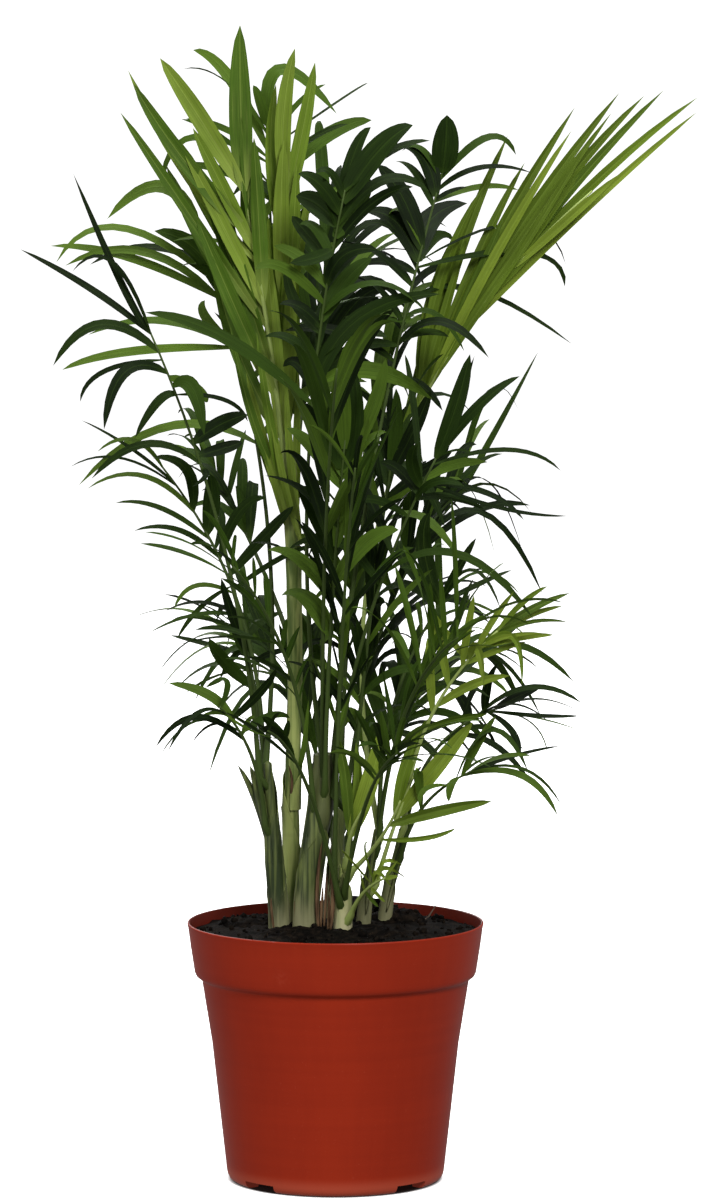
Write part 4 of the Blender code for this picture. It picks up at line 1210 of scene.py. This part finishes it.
front_dark = {
    "front_middle": Frond(
        foot=(-0.0004, -0.0113, 0.124), bend=(0.004, -0.046, 0.245), tip=(0.008, -0.088, 0.295),
        bare=0.3, pairs=18, leaf=0.036, wide=3.6, spread=(44, 14), face=(0, 1, 0.4), droop=0.08,
        keep=0.75, stray=22, vee=0.4,
    ),
    "front_low": Frond(
        foot=(0.0015, -0.0144, 0.116), bend=(-0.014, -0.042, 0.172), tip=(-0.026, -0.082, 0.192),
        bare=0.6, pairs=7, leaf=0.0306, wide=4, spread=(32, 12), face=(0, 1, 0.4), droop=0,
        shares=(0.4, 1), keep=0.75, stray=18, low=0.194, vee=0.2,
    ),
    "front_high": Frond(
        foot=(-0.005, -0.0101, 0.1626), bend=(-0.003, -0.056, 0.28), tip=(0.001, -0.103, 0.334),
        bare=0.55, pairs=8, leaf=0.052, wide=7, spread=(34, 15), face=(0, 1, 0.4), droop=0.15, keep=0.7,
        stray=10, vee=0.4,
    ),
}
joined_blades("leaflets_front_dark", dark_finishes, front_dark, 31)
heart = {
    "heart_broad": Frond(
        foot=(-0.0043, -0.0122, 0.16), bend=(0, -0.034, 0.255), tip=(0.004, -0.044, 0.303),
        bare=0.45, pairs=6, leaf=0.036, wide=10, spread=(45, 10), droop=0.1, keep=0.8, stray=10,
        single=[
            (0.92, (4.3, -43.5, 312.9), (5.9, -44.7, 333.1), 15.4),
            (0.91, (14.6, -46.2, 315), (20.1, -49.4, 335.7), 6.1),
            (0.90, (-2.8, -37.5, 306.6), (-5.2, -35.1, 326.3), 4.9),
        ],
    ),
    "heart_upright": Frond(
        foot=(0.0053, -0.0087, 0.1326), bend=(0.017, -0.008, 0.253), tip=(0.024, -0.008, 0.301),
        bare=0.3, pairs=11, leaf=0.04, wide=4.0, spread=(50, 15), droop=0.1, keep=0.8, stray=18,
        single=[
            (0.93, (24.3, -9.8, 304.9), (24.3, -11, 321.8), 5.7),
            (0.91, (31.5, -11.6, 305), (38.2, -14, 321.2), 6.1),
            (0.89, (14.7, -5, 296.6), (12.3, -3, 308.5), 6.5),
            (0.86, (36, -5.6, 288.6), (46.8, -4, 295.7), 4.9),
        ],
    ),
}
joined_blades("leaflets_heart", dark_finishes, heart, 32)
joined_ribs("ribs_front", green_rib, {**front, **front_dark, **heart})

# The back fronds lean away from the viewer, so that the plant is as full behind as it is in front. Their
# two rows of leaflets stand up from the rib and hang over at the tips.
back = {
    "back_middle": Frond(
        foot=(0.0022, 0.0239, 0.1486), bend=(0.01, 0.058, 0.268), tip=(0.02, 0.102, 0.32),
        bare=0.3, pairs=15, leaf=0.0529, wide=7, spread=(42, 16), droop=0.42, shares=(0.6, 1), stray=18,
        vee=0.5,
    ),
    "back_right": Frond(
        foot=(0.0037, 0.025, 0.142), bend=(0.026, 0.058, 0.236), tip=(0.05, 0.1, 0.268),
        bare=0.3, pairs=15, leaf=0.0529, wide=4.8, spread=(42, 16), droop=0.42, stray=18, vee=0.5,
    ),
    "back_low_right": Frond(
        foot=(0.0029, 0.0243, 0.13), bend=(0.026, 0.06, 0.18), tip=(0.048, 0.102, 0.198),
        bare=0.3, pairs=13, leaf=0.046, wide=6, spread=(42, 16), droop=0.42, stray=18, vee=0.5,
    ),
    "back_high": Frond(
        foot=(-0.0167, 0.0058, 0.259), bend=(-0.012, 0.056, 0.325), tip=(-0.004, 0.098, 0.365),
        bare=0.4, pairs=15, leaf=0.0644, wide=7, spread=(45, 20), droop=0.4, keep=0.95, stray=16,
        vee=0.45,
    ),
}
joined_blades("leaflets_back", dark_finishes, back, 33)
back_left_side = {
    "back_left": Frond(
        foot=(-0.0184, 0.0075, 0.218), bend=(-0.035, 0.047, 0.255), tip=(-0.054, 0.089, 0.284),
        bare=0.5, pairs=10, leaf=0.0331, wide=4.6, spread=(26, 12), droop=0.3, keep=0.75, stray=12,
        vee=0.5,
    ),
    "back_low_left": Frond(
        foot=(-0.0009, 0.0249, 0.136), bend=(-0.018, 0.06, 0.19), tip=(-0.04, 0.1, 0.208),
        bare=0.3, pairs=13, leaf=0.046, wide=6, spread=(42, 16), droop=0.42, stray=18, vee=0.5,
    ),
}
joined_blades("leaflets_back_left", mature_finishes, back_left_side, 34)
joined_ribs("ribs_back", green_rib, {**back, **back_left_side})

# The floor is a plain white studio floor that curves up into a wall all round. It glows softly, only shows
# behind the plant, and throws no light or shadow on it. Straight under the pot a painted shadow darkens its
# colour and its glow.
FLOOR_RADIUS = 6.0
FLOOR_CURVE = [(1.08, 0.10), (1.05, 0.30), (1.02, 0.60), (1.0, 6.0)]
POT_SHADOW_RADII = (0.0415, 0.0450)
bpy.ops.object.select_all(action="DESELECT")
bpy.ops.mesh.primitive_circle_add(vertices=96, radius=FLOOR_RADIUS, fill_type="NGON", location=(0, 0, 0))
floor = bpy.context.object
floor.name = "floor"
bpy.ops.object.mode_set(mode="EDIT")
bpy.ops.mesh.select_mode(type="EDGE")
bpy.ops.mesh.select_all(action="SELECT")
for share, rise in FLOOR_CURVE:
    bpy.ops.mesh.extrude_edges_move(TRANSFORM_OT_translate={"value": (0, 0, rise)})
    bpy.ops.transform.resize(value=(share, share, 1), center_override=(0, 0, 0))
bpy.ops.object.mode_set(mode="OBJECT")
paper = Finish("floor_paper", Roughness=0.9, Specular_IOR_Level=0.05, Emission_Strength=0.75)
# Painted shadow: the floor's colour and glow go dark straight under the pot.
pot_shadow = paper.apart(paper.place(), (POT_X, 0, 0)).within(*POT_SHADOW_RADII)
white = paper.blend(paper.noise(paper.place(), 3), (0.93, 0.93, 0.93), (0.90, 0.90, 0.90))
paper.wear(Base_Color=paper.blend(pot_shadow, (0.02, 0.018, 0.016), white),
           Emission_Color=paper.blend(pot_shadow, (0.004, 0.003, 0.003), (1.0, 1.0, 1.0)))
floor.data.materials.append(paper.material)
floor.visible_diffuse = floor.visible_glossy = floor.visible_shadow = False

# The light is a soft studio: a dim surround, one large soft lamp high at the front right, and weaker ones
# at the left, overhead and behind. Each lamp is aimed at the middle of the plant.
SURROUND = 0.36
AIM = Vector((0, 0, 0.22))
LAMPS = {
    "key": ((0.75, -2.0, 1.7), 0.9, 60),
    "fill": ((-1.7, -1.4, 0.9), 1.0, 19),
    "top": ((0.0, 0.2, 2.1), 1.2, 38),
    "back": ((-0.7, 2.2, 1.3), 1.0, 16),
}
sky = bpy.data.worlds.new("studio")
sky.use_nodes = True
sky.node_tree.nodes["Background"].inputs["Color"].default_value = (1, 1, 1, 1)
sky.node_tree.nodes["Background"].inputs["Strength"].default_value = SURROUND
bpy.context.scene.world = sky
for name, (spot, size, power) in LAMPS.items():
    lamp = bpy.data.lights.new(name, "AREA")
    lamp.size = size
    lamp.energy = power
    light = bpy.data.objects.new(name, lamp)
    light.location = spot
    light.rotation_euler = (AIM - Vector(spot)).to_track_quat("-Z", "Y").to_euler()
    bpy.context.scene.collection.objects.link(light)

# The camera stands 2.3 m in front of the pot, a little below the plant's top, and looks 5 degrees down. Its
# focal length is given in pixels of the photo, which is 1200 pixels high.
PHOTO_HIGH, FOCUS = 1200, 5732
EYE = (-0.0023, -2.30, 0.4468)
LOOK_DOWN = 5.244
eye = bpy.data.cameras.new("eye")
eye.sensor_width = 36
eye.lens = 36 * FOCUS / PHOTO_HIGH
camera = bpy.data.objects.new("eye", eye)
camera.location = EYE
camera.rotation_euler = (math.radians(90 - LOOK_DOWN), 0, 0)
bpy.context.scene.collection.objects.link(camera)
bpy.context.scene.camera = camera
bpy.context.scene.view_settings.view_transform = "Standard"
